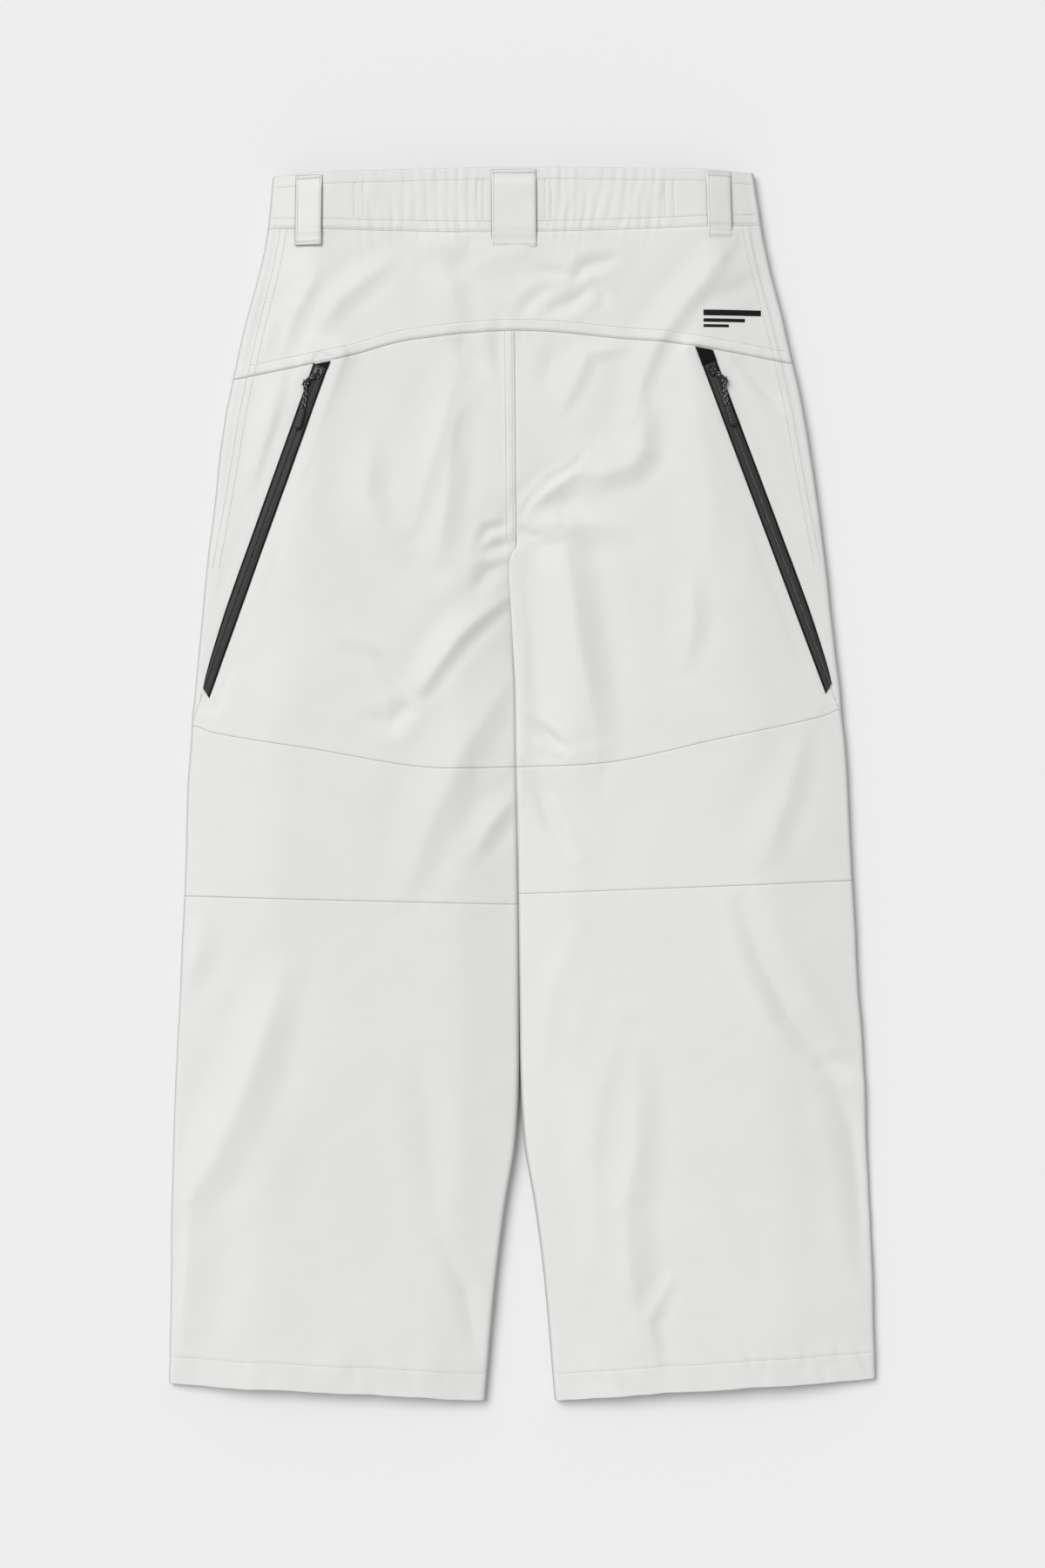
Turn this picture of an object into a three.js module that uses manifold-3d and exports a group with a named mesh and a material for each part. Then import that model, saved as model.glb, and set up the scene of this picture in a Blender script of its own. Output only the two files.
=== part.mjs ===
// Ski pants lying flat on their front, seat side up.
// Millimetres, +Z up, +Y towards the waist, +X towards the wearer's right leg.
// The origin is under the middle of the garment, on the surface it lies on.
import * as THREE from 'three';
import { mergeVertices } from 'three/addons/utils/BufferGeometryUtils.js';
import Module from 'manifold-3d';

const wasm = await Module();
wasm.setup();

// ---- Driving dimensions -----------------------------------------------------
const OUTSEAM = 1058;            // waist edge to hem edge at the longest place
const RISE = 324;                // waist edge down to the crotch
const WAIST_HALF = 207;          // half widths of the flat garment
const SEAT_HALF = 252.5;
const CROTCH_HALF = 265;
const KNEE_HALF = 280.6;
const CALF_HALF = 301.5;
const HEM_HALF = 304.5;
const INSEAM_HALF_GAP = 0.5;     // between the two legs, from the crotch to mid shin
const HEM_HALF_GAP = 32;         // between the two legs at the hem
const WALL = 1.6;                // shell fabric with its lining
const SEAM_GAP = 0.3;            // clearance between pieces that are sewn together
const SEAT_LOFT = 24;            // height of the lying garment at seat and knee
const HEM_LOFT = 16;
const EDGE_TOP = 2 * WALL + SEAM_GAP;  // top of the folded side edge, back wall over front wall
const EDGE_ROLL = 6;             // width of the rolled edge
const EDGE_SHARE = 0.36;         // share of the loft reached by the rolled edge
const SIDE_RAMP = 78;            // edge to full loft, legs and seat
const WAIST_RAMP = 17;           // edge to full loft, waistband
const INSEAM_RAMP = 50;
const FRONT_LIFT = 6.5;          // room under the fly hardware
const FRONT_LIFT_INSET = 17;     // lift starts this far inside the side edge
const FRONT_LIFT_RAMP = 45;
const FRONT_LIFT_RISE = 33;      // lift grows over this length above the crotch
const WAISTBAND = 54;            // depth of the waistband at the centre
const YOKE_DEPTH = 85;           // waistband to yoke seam at the centre
const UPPER_KNEE_HEIGHT = 589;   // hem to upper knee seam at the side
const LOWER_KNEE_HEIGHT = 440;   // hem to lower knee seam at the side
const HEM_SLANT = 16;            // outer hem corner above the inner one
const HEM_TURNING = 23;
const ELASTIC_THICKNESS = 1.2;
const ELASTIC_FROM = 26;
const ELASTIC_TO = 137;
const FACING_THICKNESS = 1;
const FACING_INSET = 22;
const LOOP_WALL = 1.2;
const LOOP_ARCH = 5.5;
const FRONT_LOOP_ARCH = 4.7;
const LOOP_FOOT = 5;
const LOOP_RAMP = 4;
const SIDE_LOOP_WIDTH = 20;
const CENTRE_LOOP_WIDTH = 39;
const SIDE_LOOP_X = 177;
const FRONT_LOOP_X = 120;
const SIDE_LOOP_OVERHANG = 10;
const CENTRE_LOOP_OVERHANG = 12;
const LOOP_TOP_INSET = 1.5;
const VENT_TOP_X = 163;
const VENT_BOTTOM_INSET = 7.6;   // zip centre line inside the side edge at its foot
const VENT_FOOT_ABOVE_KNEE = 20;
const VENT_TAPE = 13;            // both tapes together
const VENT_END_SLANT = 10;       // the foot of the zip is cut on a slant
const TAPE_MEETING_GAP = 0.3;
const COIL_WIDTH = 4;
const COIL_THICKNESS = 1.4;
const GARAGE_LENGTH = 11;
const GARAGE_THICKNESS = 0.8;
const SLIDER_START = 18;         // slider centre below the top of its zip
const SLIDER_LENGTH = 9;
const SLIDER_WIDTH = 8;
const SLIDER_BASE = 2;
const BAIL_WIDTH = 1.6;
const BAIL_BAR = 1.2;
const BAIL_WINDOW = 2.6;
const BAIL_LENGTH = 7;
const CORD_DIAMETER = 1.8;
const CORD_SPREAD = 2.3;         // cord strands either side of the bail
const CORD_REACH = 34;
const GRIP_LENGTH = 17;
const GRIP_WIDTH = 7;
const GRIP_THICKNESS = 4.6;
const FLY_LENGTH = 175;
const FLY_TAPE_HALF = 8;
const FLY_CLEAR = 5;             // fly zip ends below the waistband
const SHIELD_THICKNESS = 1;
const SHIELD_LEFT = 25;
const SHIELD_RIGHT = 30;
const TAB_LENGTH = 33;
const SNAP_X = 19;
const SNAP_CAP_RADIUS = 7;
const SNAP_CAP_THICKNESS = 1.3;
const SNAP_STUD_RADIUS = 5;
const SNAP_STUD_THICKNESS = 1;
const UNDERLAP_LIFT = WALL + SNAP_STUD_THICKNESS + 2 * SEAM_GAP;  // band raised over the tab and its stud
const SLEEVE_INSET = 9;          // gaiter and hem turning inside the folded edges
const GAITER_WALL = 0.9;
const GAITER_LENGTH = 130;
const TURNING_WALL = 1.1;
const PRINT_THICKNESS = 0.4;
const PRINT_LEFT = 162;
const PRINT_HEIGHT_ABOVE_SEAM = 20;
const PRINT_WIDTH = 50;
const PRINT_HEIGHT = 16;

// ---- Run of the outline and the seams ---------------------------------------
const HIP_UPPER_DROP = 70;       // two hip stations below the waist edge, and their added half width
const HIP_UPPER_SPREAD = 10;
const HIP_LOWER_DROP = 138;
const HIP_LOWER_SPREAD = 27;
const SEAT_ABOVE_CROTCH = 100;
const LOWER_KNEE_SPREAD = 8.4;
const CALF_ABOVE_HEM = 167;
// Height above the hem, and the share of the hem's half gap reached there.
const INSEAM_OPENING = [[305, 0], [222, 0.11], [167, 0.4], [102, 0.68]];
// Distance from the centre line, and the yoke seam's drop there.
const YOKE_DROPS = [[97, 8], [161, 18], [240, 32]];
// Share of the knee's half width, and the upper knee seam's drop there.
const KNEE_DROPS = [[0, 44.5], [0.29, 42], [0.61, 25], [0.93, 8], [1, 0]];
const LOWER_KNEE_DROP = 9;       // at the centre line
const WAIST_SEAM_RISE = 6;       // at the side
const WAIST_TOP_DROP = 4;        // at the side
const RAMP_CHANGE_START = 15;    // above the top of the vent zip
const RAMP_CHANGE_LENGTH = 60;
const BED_REACH = 34;            // flat bed beside the vent zip, and the width it fades over
const BED_FADE = 22;
const BED_END_REACH = 22;
const BED_END_FADE = 18;
const FRONT_LIFT_START = 2;      // above the crotch

// ---- Grids and cutters ------------------------------------------------------
const MERGE_TOLERANCE = 1e-4;
const ROW_STEP = 38;
const GRID_OVERRUN = 6;          // rows past the hem and the waist
const CROTCH_ROWS = [-12, 0, 6, 16, 32, 50];
const CUTTER_HALF_HEIGHT = 100;
const BAND_INNER = -5;
const BAND_OUTER = HEM_HALF + 20;
const BAND_FIRST = 12;
const BAND_STEP = 14;
const BAND_END_CLEARANCE = 8;
const SLOT_OVERRUN = 50;
const SLOT_DEPTH = 10;           // past the centre line
const ELASTIC_INSET = 4;         // inside both edges of the waistband
const FACING_EDGE_INSET = 1;
const UNDERLAP_END = TAB_LENGTH + 20;
const UNDERLAP_RAMP = 16;
const UNDERLAP_STEP = 4;
const FLY_COIL_START = 4;
const SHIELD_BELOW = 5;
const TAB_EDGE_INSET = 0.5;
const DISC_SIDES = 20;
const BAIL_ROOT = 0.5;
const BAIL_SHOULDER = 0.7;       // share of the window below the sloping corner
const CORD_TURN = 4;             // the cord's bend round the bail
const CORD_TURN_TIP = 1.2;
const CORD_STEPS = 30;
// Share of the cord's reach, and of its spread, from the grip towards the bail.
const CORD_STRAND = [[1, 1], [0.7, 1], [0.35, 1]];
const CORD_SHOULDER = 0.86;
const CORD_NOSE = 0.35;
const ROUND_SEGMENTS = 4;
const GRIP_CHAMFER = 3;
const GRIP_NOSE = 0.95;          // shares of the grip's half width
const GRIP_TAIL = 0.8;
const GRIP_CORNER = 0.7;
const TURNING_START = 0.5;       // above the hem edge

// ---- Levels worked out from them --------------------------------------------
const WAIST_Y = OUTSEAM / 2;
const HEM_Y = -OUTSEAM / 2;
const CROTCH_Y = WAIST_Y - RISE;
const UPPER_KNEE_Y = HEM_Y + UPPER_KNEE_HEIGHT;
const LOWER_KNEE_Y = HEM_Y + LOWER_KNEE_HEIGHT;
const HALF_SEAM = SEAM_GAP / 2;
const OUTBOARD = SIDE_RAMP + 20;  // past the side edge, measured from the vent zip
const ABOVE_SEAM = -60;          // past the yoke seam, measured along the vent zip

const COLOURS = {
  shell: { color: 0xe4e4e2, roughness: 0.82, metalness: 0 },
  lining: { color: 0xd2d3d3, roughness: 0.9, metalness: 0 },
  elastic: { color: 0xd9d9d7, roughness: 0.95, metalness: 0 },
  zip: { color: 0x3a3a39, roughness: 0.55, metalness: 0 },
  black: { color: 0x161616, roughness: 0.6, metalness: 0 },
  metal: { color: 0x2b2b2b, roughness: 0.35, metalness: 0.8 },
  cord: { color: 0x191919, roughness: 0.85, metalness: 0 },
};

// ---- Curves -----------------------------------------------------------------
// A smooth curve through [position, value] stations, straight past both ends.
function curveThrough(stations) {
  const points = [...stations].sort((a, b) => a[0] - b[0]);
  const slopes = points.map((point, i) => {
    const before = points[Math.max(i - 1, 0)];
    const after = points[Math.min(i + 1, points.length - 1)];
    return (after[1] - before[1]) / (after[0] - before[0]);
  });
  return (position) => {
    const last = points.length - 1;
    if (position <= points[0][0]) return points[0][1] + slopes[0] * (position - points[0][0]);
    if (position >= points[last][0]) return points[last][1] + slopes[last] * (position - points[last][0]);
    const i = points.findIndex((point) => point[0] > position) - 1;
    const span = points[i + 1][0] - points[i][0];
    const t = (position - points[i][0]) / span;
    const rise = points[i + 1][1] - points[i][1];
    const bend = t * (1 - t) * ((1 - t) * (slopes[i] * span - rise) - t * (slopes[i + 1] * span - rise));
    return points[i][1] + t * rise + bend;
  };
}

function clamp01(value) {
  return Math.min(1, Math.max(0, value));
}

function smooth(value) {
  const t = clamp01(value);
  return t * t * (3 - 2 * t);
}

const sideEdge = curveThrough([
  [WAIST_Y, WAIST_HALF],
  [WAIST_Y - HIP_UPPER_DROP, WAIST_HALF + HIP_UPPER_SPREAD],
  [WAIST_Y - HIP_LOWER_DROP, WAIST_HALF + HIP_LOWER_SPREAD],
  [CROTCH_Y + SEAT_ABOVE_CROTCH, SEAT_HALF],
  [CROTCH_Y, CROTCH_HALF],
  [UPPER_KNEE_Y, KNEE_HALF],
  [LOWER_KNEE_Y, KNEE_HALF + LOWER_KNEE_SPREAD],
  [HEM_Y + CALF_ABOVE_HEM, CALF_HALF],
  [HEM_Y, HEM_HALF],
]);

const inseamEdge = curveThrough([
  [CROTCH_Y, INSEAM_HALF_GAP],
  ...INSEAM_OPENING.map(([height, share]) => [
    HEM_Y + height,
    INSEAM_HALF_GAP + share * (HEM_HALF_GAP - INSEAM_HALF_GAP),
  ]),
  [HEM_Y, HEM_HALF_GAP],
]);

function innerEdge(y) {
  return y >= CROTCH_Y ? 0 : inseamEdge(y);
}

// One station left of the centre keeps the yoke seam level where it crosses the centre line.
const yokeLevel = WAIST_Y - WAISTBAND - YOKE_DEPTH;
const yokeSeam = curveThrough([
  [-YOKE_DROPS[0][0], yokeLevel - YOKE_DROPS[0][1]],
  [0, yokeLevel],
  ...YOKE_DROPS.map(([x, drop]) => [x, yokeLevel - drop]),
]);

const upperKneeSeam = curveThrough(KNEE_DROPS.map(([share, drop]) => [share * KNEE_HALF, UPPER_KNEE_Y - drop]));

function waistSeam(x) {
  return WAIST_Y - WAISTBAND + WAIST_SEAM_RISE * (x / WAIST_HALF) ** 2;
}

function waistTop(x) {
  return WAIST_Y - WAIST_TOP_DROP * (x / WAIST_HALF) ** 2;
}

function lowerKneeSeam(x) {
  return LOWER_KNEE_Y - LOWER_KNEE_DROP * (1 - x / KNEE_HALF);
}

function hemEdge(x) {
  return HEM_Y + HEM_SLANT * Math.max(0, x - HEM_HALF_GAP) / (HEM_HALF - HEM_HALF_GAP);
}

// ---- The vent zip's straight line -------------------------------------------
const ventFootY = UPPER_KNEE_Y + VENT_FOOT_ABOVE_KNEE;
const ventTop = new THREE.Vector2(VENT_TOP_X, yokeSeam(VENT_TOP_X));
const ventFoot = new THREE.Vector2(sideEdge(ventFootY) - VENT_BOTTOM_INSET, ventFootY);
const ventLength = ventTop.distanceTo(ventFoot);
const ventAlong = ventFoot.clone().sub(ventTop).normalize();
const ventOut = new THREE.Vector2(-ventAlong.y, ventAlong.x);

function ventPoint(along, out) {
  return ventTop.clone().addScaledVector(ventAlong, along).addScaledVector(ventOut, out);
}

// ---- Heights ----------------------------------------------------------------
// Share of the loft reached at a distance inside a folded edge.
function edgeRise(distance, ramp) {
  if (distance <= 0) return 0;
  if (distance >= EDGE_ROLL) {
    return EDGE_SHARE + (1 - EDGE_SHARE) * clamp01((distance - EDGE_ROLL) / (ramp - EDGE_ROLL));
  }
  return EDGE_SHARE * Math.sqrt(1 - (1 - distance / EDGE_ROLL) ** 2);
}

function inseamDistance(x, y) {
  return y >= CROTCH_Y ? Math.hypot(x, y - CROTCH_Y) : x - inseamEdge(y);
}

function sideRamp(y) {
  const change = smooth((y - ventTop.y - RAMP_CHANGE_START) / RAMP_CHANGE_LENGTH);
  return SIDE_RAMP + (WAIST_RAMP - SIDE_RAMP) * change;
}

function loft(y) {
  return HEM_LOFT + (SEAT_LOFT - HEM_LOFT) * clamp01((y - HEM_Y) / UPPER_KNEE_HEIGHT);
}

function lieHeight(x, y) {
  const side = edgeRise(sideEdge(y) - x, sideRamp(y));
  const inseam = edgeRise(inseamDistance(x, y), INSEAM_RAMP);
  return EDGE_TOP + (loft(y) - EDGE_TOP) * Math.min(side, inseam);
}

const ventTopZ = lieHeight(ventTop.x, ventTop.y);
const ventFootZ = lieHeight(ventFoot.x, ventFoot.y);
const ventFall = (ventTopZ - ventFootZ) / ventLength;
const ventTilt = (1 - EDGE_SHARE) * (SEAT_LOFT - EDGE_TOP) / (SIDE_RAMP - EDGE_ROLL);

// Top of the back of the garment. The strip beside the vent zip is a flat plane.
function backTop(x, y) {
  const height = lieHeight(x, y);
  const offset = new THREE.Vector2(x, y).sub(ventTop);
  const along = offset.dot(ventAlong);
  const out = offset.dot(ventOut);
  const plane = ventTopZ - ventFall * along - ventTilt * out;
  const near = smooth((BED_REACH - Math.abs(out)) / BED_FADE);
  const pastTop = smooth((along + BED_END_REACH) / BED_END_FADE);
  const within = pastTop * smooth((ventLength + BED_END_REACH - along) / BED_END_FADE);
  const rolled = smooth((sideEdge(y) - x) / EDGE_ROLL);
  return height + near * within * rolled * (plane - height);
}

function frontBottom(x, y) {
  const across = clamp01((sideEdge(y) - x - FRONT_LIFT_INSET) / FRONT_LIFT_RAMP);
  const along = clamp01((y - CROTCH_Y - FRONT_LIFT_START) / FRONT_LIFT_RISE);
  return FRONT_LIFT * across * along;
}

// ---- Solids -----------------------------------------------------------------
function solidOf(geometry) {
  const bare = geometry.clone();
  bare.deleteAttribute('normal');
  bare.deleteAttribute('uv');
  const merged = mergeVertices(bare, MERGE_TOLERANCE);
  return new wasm.Manifold(new wasm.Mesh({
    numProp: 3,
    vertProperties: new Float32Array(merged.attributes.position.array),
    triVerts: new Uint32Array(merged.index.array),
  }));
}

function geometryOf(solid) {
  const mesh = solid.getMesh();
  const geometry = new THREE.BufferGeometry();
  geometry.setAttribute('position', new THREE.BufferAttribute(new Float32Array(mesh.vertProperties), 3));
  geometry.setIndex(new THREE.BufferAttribute(new Uint32Array(mesh.triVerts), 1));
  geometry.computeVertexNormals();
  return geometry;
}

// A closed slab over a grid of plan points, from one height function to another.
function gridSlab(rows, bottom, top) {
  const positions = [];
  const indices = [];
  const across = rows[0].length;
  for (const height of [bottom, top]) {
    for (const row of rows) {
      for (const [x, y] of row) positions.push(x, y, height(x, y));
    }
  }
  const lower = (i, j) => j * across + i;
  const upper = (i, j) => rows.length * across + j * across + i;
  const quad = (a, b, c, d) => indices.push(a, b, c, a, c, d);
  for (let j = 0; j < rows.length - 1; j++) {
    for (let i = 0; i < across - 1; i++) {
      quad(upper(i, j), upper(i + 1, j), upper(i + 1, j + 1), upper(i, j + 1));
      quad(lower(i, j), lower(i, j + 1), lower(i + 1, j + 1), lower(i + 1, j));
    }
    quad(lower(0, j), upper(0, j), upper(0, j + 1), lower(0, j + 1));
    quad(lower(across - 1, j), lower(across - 1, j + 1), upper(across - 1, j + 1), upper(across - 1, j));
  }
  for (let i = 0; i < across - 1; i++) {
    quad(lower(i, 0), lower(i + 1, 0), upper(i + 1, 0), upper(i, 0));
    const last = rows.length - 1;
    quad(lower(i, last), upper(i, last), upper(i + 1, last), lower(i + 1, last));
  }
  const geometry = new THREE.BufferGeometry();
  geometry.setAttribute('position', new THREE.Float32BufferAttribute(positions, 3));
  geometry.setIndex(indices);
  return geometry;
}

const BACK_INNER_COLUMNS = [0, 1.2, EDGE_ROLL, 26, INSEAM_RAMP];
const BACK_OUTER_COLUMNS = [SIDE_RAMP, 42, WAIST_RAMP, EDGE_ROLL, 3, 1, 0];
const FRONT_OUTER_COLUMNS = [FRONT_LIFT_INSET + FRONT_LIFT_RAMP, FRONT_LIFT_INSET, 0];

// Plan points of the right half, from below the hem to above the waist.
function halfRows(innerColumns, outerColumns, inset) {
  const levels = CROTCH_ROWS.map((offset) => CROTCH_Y + offset);
  const length = OUTSEAM + 2 * GRID_OVERRUN;
  const steps = Math.round(length / ROW_STEP);
  for (let k = 0; k <= steps; k++) {
    levels.push(HEM_Y - GRID_OVERRUN + k * length / steps);
  }
  levels.sort((a, b) => a - b);
  return levels.map((y) => {
    const inner = innerColumns.map((offset) => [innerEdge(y) + inset + offset, y]);
    const outer = outerColumns.map((offset) => [sideEdge(y) - inset - offset, y]);
    return [...inner, ...outer];
  });
}

function halfShell(bottom, top, inset = 0) {
  return solidOf(gridSlab(halfRows(BACK_INNER_COLUMNS, BACK_OUTER_COLUMNS, inset), bottom, top));
}

function prism(points) {
  const shape = new THREE.Shape(points.map(([x, y]) => new THREE.Vector2(x, y)));
  const geometry = new THREE.ExtrudeGeometry(shape, { depth: 2 * CUTTER_HALF_HEIGHT, bevelEnabled: false });
  geometry.translate(0, 0, -CUTTER_HALF_HEIGHT);
  return solidOf(geometry);
}

// Everything between two seams, from one x to another.
function band(lower, upper, from = BAND_INNER, to = BAND_OUTER) {
  const stations = [from];
  const first = Math.max(from + BAND_END_CLEARANCE, BAND_FIRST);
  for (let x = first; x < to - BAND_END_CLEARANCE; x += BAND_STEP) stations.push(x);
  stations.push(to);
  const floor = stations.map((x) => [x, lower(x)]);
  const roof = stations.map((x) => [x, upper(x)]).reverse();
  return prism([...floor, ...roof]);
}

// The vent zip's footprint between two offsets from its centre line.
function ventStrip(from, to, start, end, slant = VENT_END_SLANT) {
  const foot = (out) => ventPoint(end - slant * (out / VENT_TAPE + 0.5), out);
  const corners = [ventPoint(start, from), foot(from), foot(to), ventPoint(start, to)];
  return prism(corners.map((corner) => [corner.x, corner.y]));
}

function block(x0, x1, y0, y1, z0, z1) {
  const geometry = new THREE.BoxGeometry(x1 - x0, y1 - y0, z1 - z0);
  geometry.translate((x0 + x1) / 2, (y0 + y1) / 2, (z0 + z1) / 2);
  return geometry;
}

function mirrored(geometry) {
  const twin = geometry.clone();
  twin.scale(-1, 1, 1);
  const index = twin.index.array;
  for (let i = 0; i < index.length; i += 3) {
    const kept = index[i];
    index[i] = index[i + 1];
    index[i + 1] = kept;
  }
  twin.computeVertexNormals();
  return twin;
}

const garment = new THREE.Group();
garment.name = 'ski_pants';

function addPiece(name, geometry, look, parent = garment) {
  const mesh = new THREE.Mesh(geometry, new THREE.MeshStandardMaterial(COLOURS[look]));
  mesh.name = name;
  parent.add(mesh);
  return mesh;
}

function addPair(name, solid, look) {
  const geometry = solid instanceof THREE.BufferGeometry ? solid : geometryOf(solid);
  addPiece(`right_${name}`, geometry, look);
  addPiece(`left_${name}`, mirrored(geometry), look);
}

function bothSides(solid) {
  const right = geometryOf(solid);
  return geometryOf(solid.add(solidOf(mirrored(right))));
}

// ---- Back of the garment ----------------------------------------------------
const backShell = halfShell((x, y) => backTop(x, y) - WALL, backTop);
const slotFoot = HEM_Y - SLOT_OVERRUN;
const slotTop = WAIST_Y + SLOT_OVERRUN;
const centreSlot = prism([
  [-SLOT_DEPTH, slotFoot], [HALF_SEAM, slotFoot], [HALF_SEAM, slotTop], [-SLOT_DEPTH, slotTop],
]);
const up = (seam) => (x) => seam(x) + HALF_SEAM;
const down = (seam) => (x) => seam(x) - HALF_SEAM;

function addBackPanels() {
  const thigh = backShell.intersect(band(up(upperKneeSeam), down(yokeSeam)));
  const half = VENT_TAPE / 2;
  const cut = ventStrip(-half - SEAM_GAP, OUTBOARD, ABOVE_SEAM, ventLength + SEAM_GAP);
  const outside = ventStrip(half + SEAM_GAP, OUTBOARD, ABOVE_SEAM, ventLength);
  const innerTape = ventStrip(-half, -TAPE_MEETING_GAP / 2, ABOVE_SEAM, ventLength);
  const outerTape = ventStrip(TAPE_MEETING_GAP / 2, half, ABOVE_SEAM, ventLength);
  addPair('back_thigh_panel', thigh.subtract(cut).subtract(centreSlot), 'shell');
  addPair('side_panel', thigh.intersect(outside), 'shell');
  addPair('vent_zip_inner_tape', thigh.intersect(innerTape), 'zip');
  addPair('vent_zip_outer_tape', thigh.intersect(outerTape), 'zip');
  addPair('knee_back_panel', backShell.intersect(band(up(lowerKneeSeam), down(upperKneeSeam))), 'shell');
  addPair('lower_back_panel', backShell.intersect(band(hemEdge, down(lowerKneeSeam))), 'shell');
  addPiece('back_yoke', bothSides(backShell.intersect(band(up(yokeSeam), down(waistSeam)))), 'shell');
}

function addVentDetails() {
  const coilTop = (x, y) => backTop(x, y) - WALL - SEAM_GAP;
  const coilShell = halfShell((x, y) => coilTop(x, y) - COIL_THICKNESS, coilTop, EDGE_ROLL);
  const coil = ventStrip(-COIL_WIDTH / 2, COIL_WIDTH / 2, GARAGE_LENGTH, ventLength - VENT_END_SLANT);
  addPair('vent_zip_coil', coilShell.intersect(coil), 'black');
  const garageBottom = (x, y) => backTop(x, y) + SEAM_GAP;
  const garageShell = halfShell(garageBottom, (x, y) => garageBottom(x, y) + GARAGE_THICKNESS);
  const square = ventStrip(-VENT_TAPE / 2, VENT_TAPE / 2, ABOVE_SEAM, GARAGE_LENGTH, 0);
  const belowYoke = band(upperKneeSeam, down(yokeSeam));
  addPair('vent_garage', garageShell.intersect(square).intersect(belowYoke), 'black');
}

// ---- Waistband --------------------------------------------------------------
function addBackWaistband() {
  const edge = band(up(waistSeam), waistTop);
  addPiece('waistband_back', bothSides(backShell.intersect(edge)), 'shell');
  const elasticTop = (x, y) => backTop(x, y) - WALL - SEAM_GAP;
  const elasticBottom = (x, y) => elasticTop(x, y) - ELASTIC_THICKNESS;
  const casingFoot = (x) => waistSeam(x) + ELASTIC_INSET;
  const casingTop = (x) => waistTop(x) - ELASTIC_INSET;
  const elastic = halfShell(elasticBottom, elasticTop).intersect(band(casingFoot, casingTop, ELASTIC_FROM, ELASTIC_TO));
  addPair('waist_elastic', elastic, 'elastic');
  const facingTop = (x, y) => elasticBottom(x, y) - SEAM_GAP;
  const facingFoot = (x) => waistSeam(x) + FACING_EDGE_INSET;
  const facingEdge = (x) => waistTop(x) - FACING_EDGE_INSET;
  const facing = halfShell((x, y) => facingTop(x, y) - FACING_THICKNESS, facingTop)
    .intersect(band(facingFoot, facingEdge, BAND_INNER, WAIST_HALF - FACING_INSET));
  addPiece('waistband_facing', bothSides(facing), 'lining');
}

function loopArch(share, length) {
  const fromEnd = Math.min(share, 1 - share) * length;
  return clamp01((fromEnd - LOOP_FOOT) / LOOP_RAMP);
}

const LOOP_STATIONS = [0, LOOP_FOOT, LOOP_FOOT + LOOP_RAMP];

// A belt loop: a strap standing off the waistband between two sewn feet.
function beltLoop(centre, width, overhang, arch, surface, outward) {
  const seam = (x) => waistSeam(Math.abs(x)) - overhang;
  const edge = (x) => waistTop(Math.abs(x)) - LOOP_TOP_INSET;
  const length = edge(centre) - seam(centre);
  const shares = LOOP_STATIONS.map((offset) => offset / length);
  const stations = [...shares, ...shares.map((share) => 1 - share).reverse()];
  const columns = [0, 0.5, 1].map((share) => centre + (share - 0.5) * width);
  const rows = stations.map((share) => columns.map((x) => [x, seam(x) + share * (edge(x) - seam(x))]));
  const standOff = (x, y) => SEAM_GAP + arch * loopArch((y - seam(x)) / (edge(x) - seam(x)), length);
  const near = (x, y) => surface(Math.abs(x), y) + outward * standOff(x, y);
  const far = (x, y) => near(x, y) + outward * LOOP_WALL;
  return outward > 0 ? gridSlab(rows, near, far) : gridSlab(rows, far, near);
}

function addBeltLoops() {
  const side = beltLoop(SIDE_LOOP_X, SIDE_LOOP_WIDTH, SIDE_LOOP_OVERHANG, LOOP_ARCH, backTop, 1);
  const front = beltLoop(FRONT_LOOP_X, SIDE_LOOP_WIDTH, SIDE_LOOP_OVERHANG, FRONT_LOOP_ARCH, frontBottom, -1);
  const centre = beltLoop(0, CENTRE_LOOP_WIDTH, CENTRE_LOOP_OVERHANG, LOOP_ARCH, backTop, 1);
  addPair('back_belt_loop', side, 'shell');
  addPair('front_belt_loop', front, 'shell');
  addPiece('centre_belt_loop', centre, 'shell');
}

// ---- Front of the garment ---------------------------------------------------
const frontRows = halfRows([0, FLY_TAPE_HALF + 2], FRONT_OUTER_COLUMNS, 0);
const frontTop = (x, y) => frontBottom(x, y) + WALL;
const frontShell = solidOf(gridSlab(frontRows, frontBottom, frontTop));
const flyTopY = WAIST_Y - WAISTBAND - HALF_SEAM;
const flyFootY = WAIST_Y - WAISTBAND - FLY_LENGTH;

function addFrontPanels() {
  const hip = frontShell.intersect(band(up(upperKneeSeam), down(waistSeam)));
  const flySlot = solidOf(block(
    -SLOT_DEPTH, FLY_TAPE_HALF + SEAM_GAP, flyFootY, WAIST_Y, -CUTTER_HALF_HEIGHT, CUTTER_HALF_HEIGHT,
  ));
  addPair('front_panel', hip.subtract(flySlot).subtract(centreSlot), 'shell');
  addPair('knee_front_panel', frontShell.intersect(band(up(lowerKneeSeam), down(upperKneeSeam))), 'shell');
  addPair('lower_front_panel', frontShell.intersect(band(hemEdge, down(lowerKneeSeam))), 'shell');
}

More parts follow.
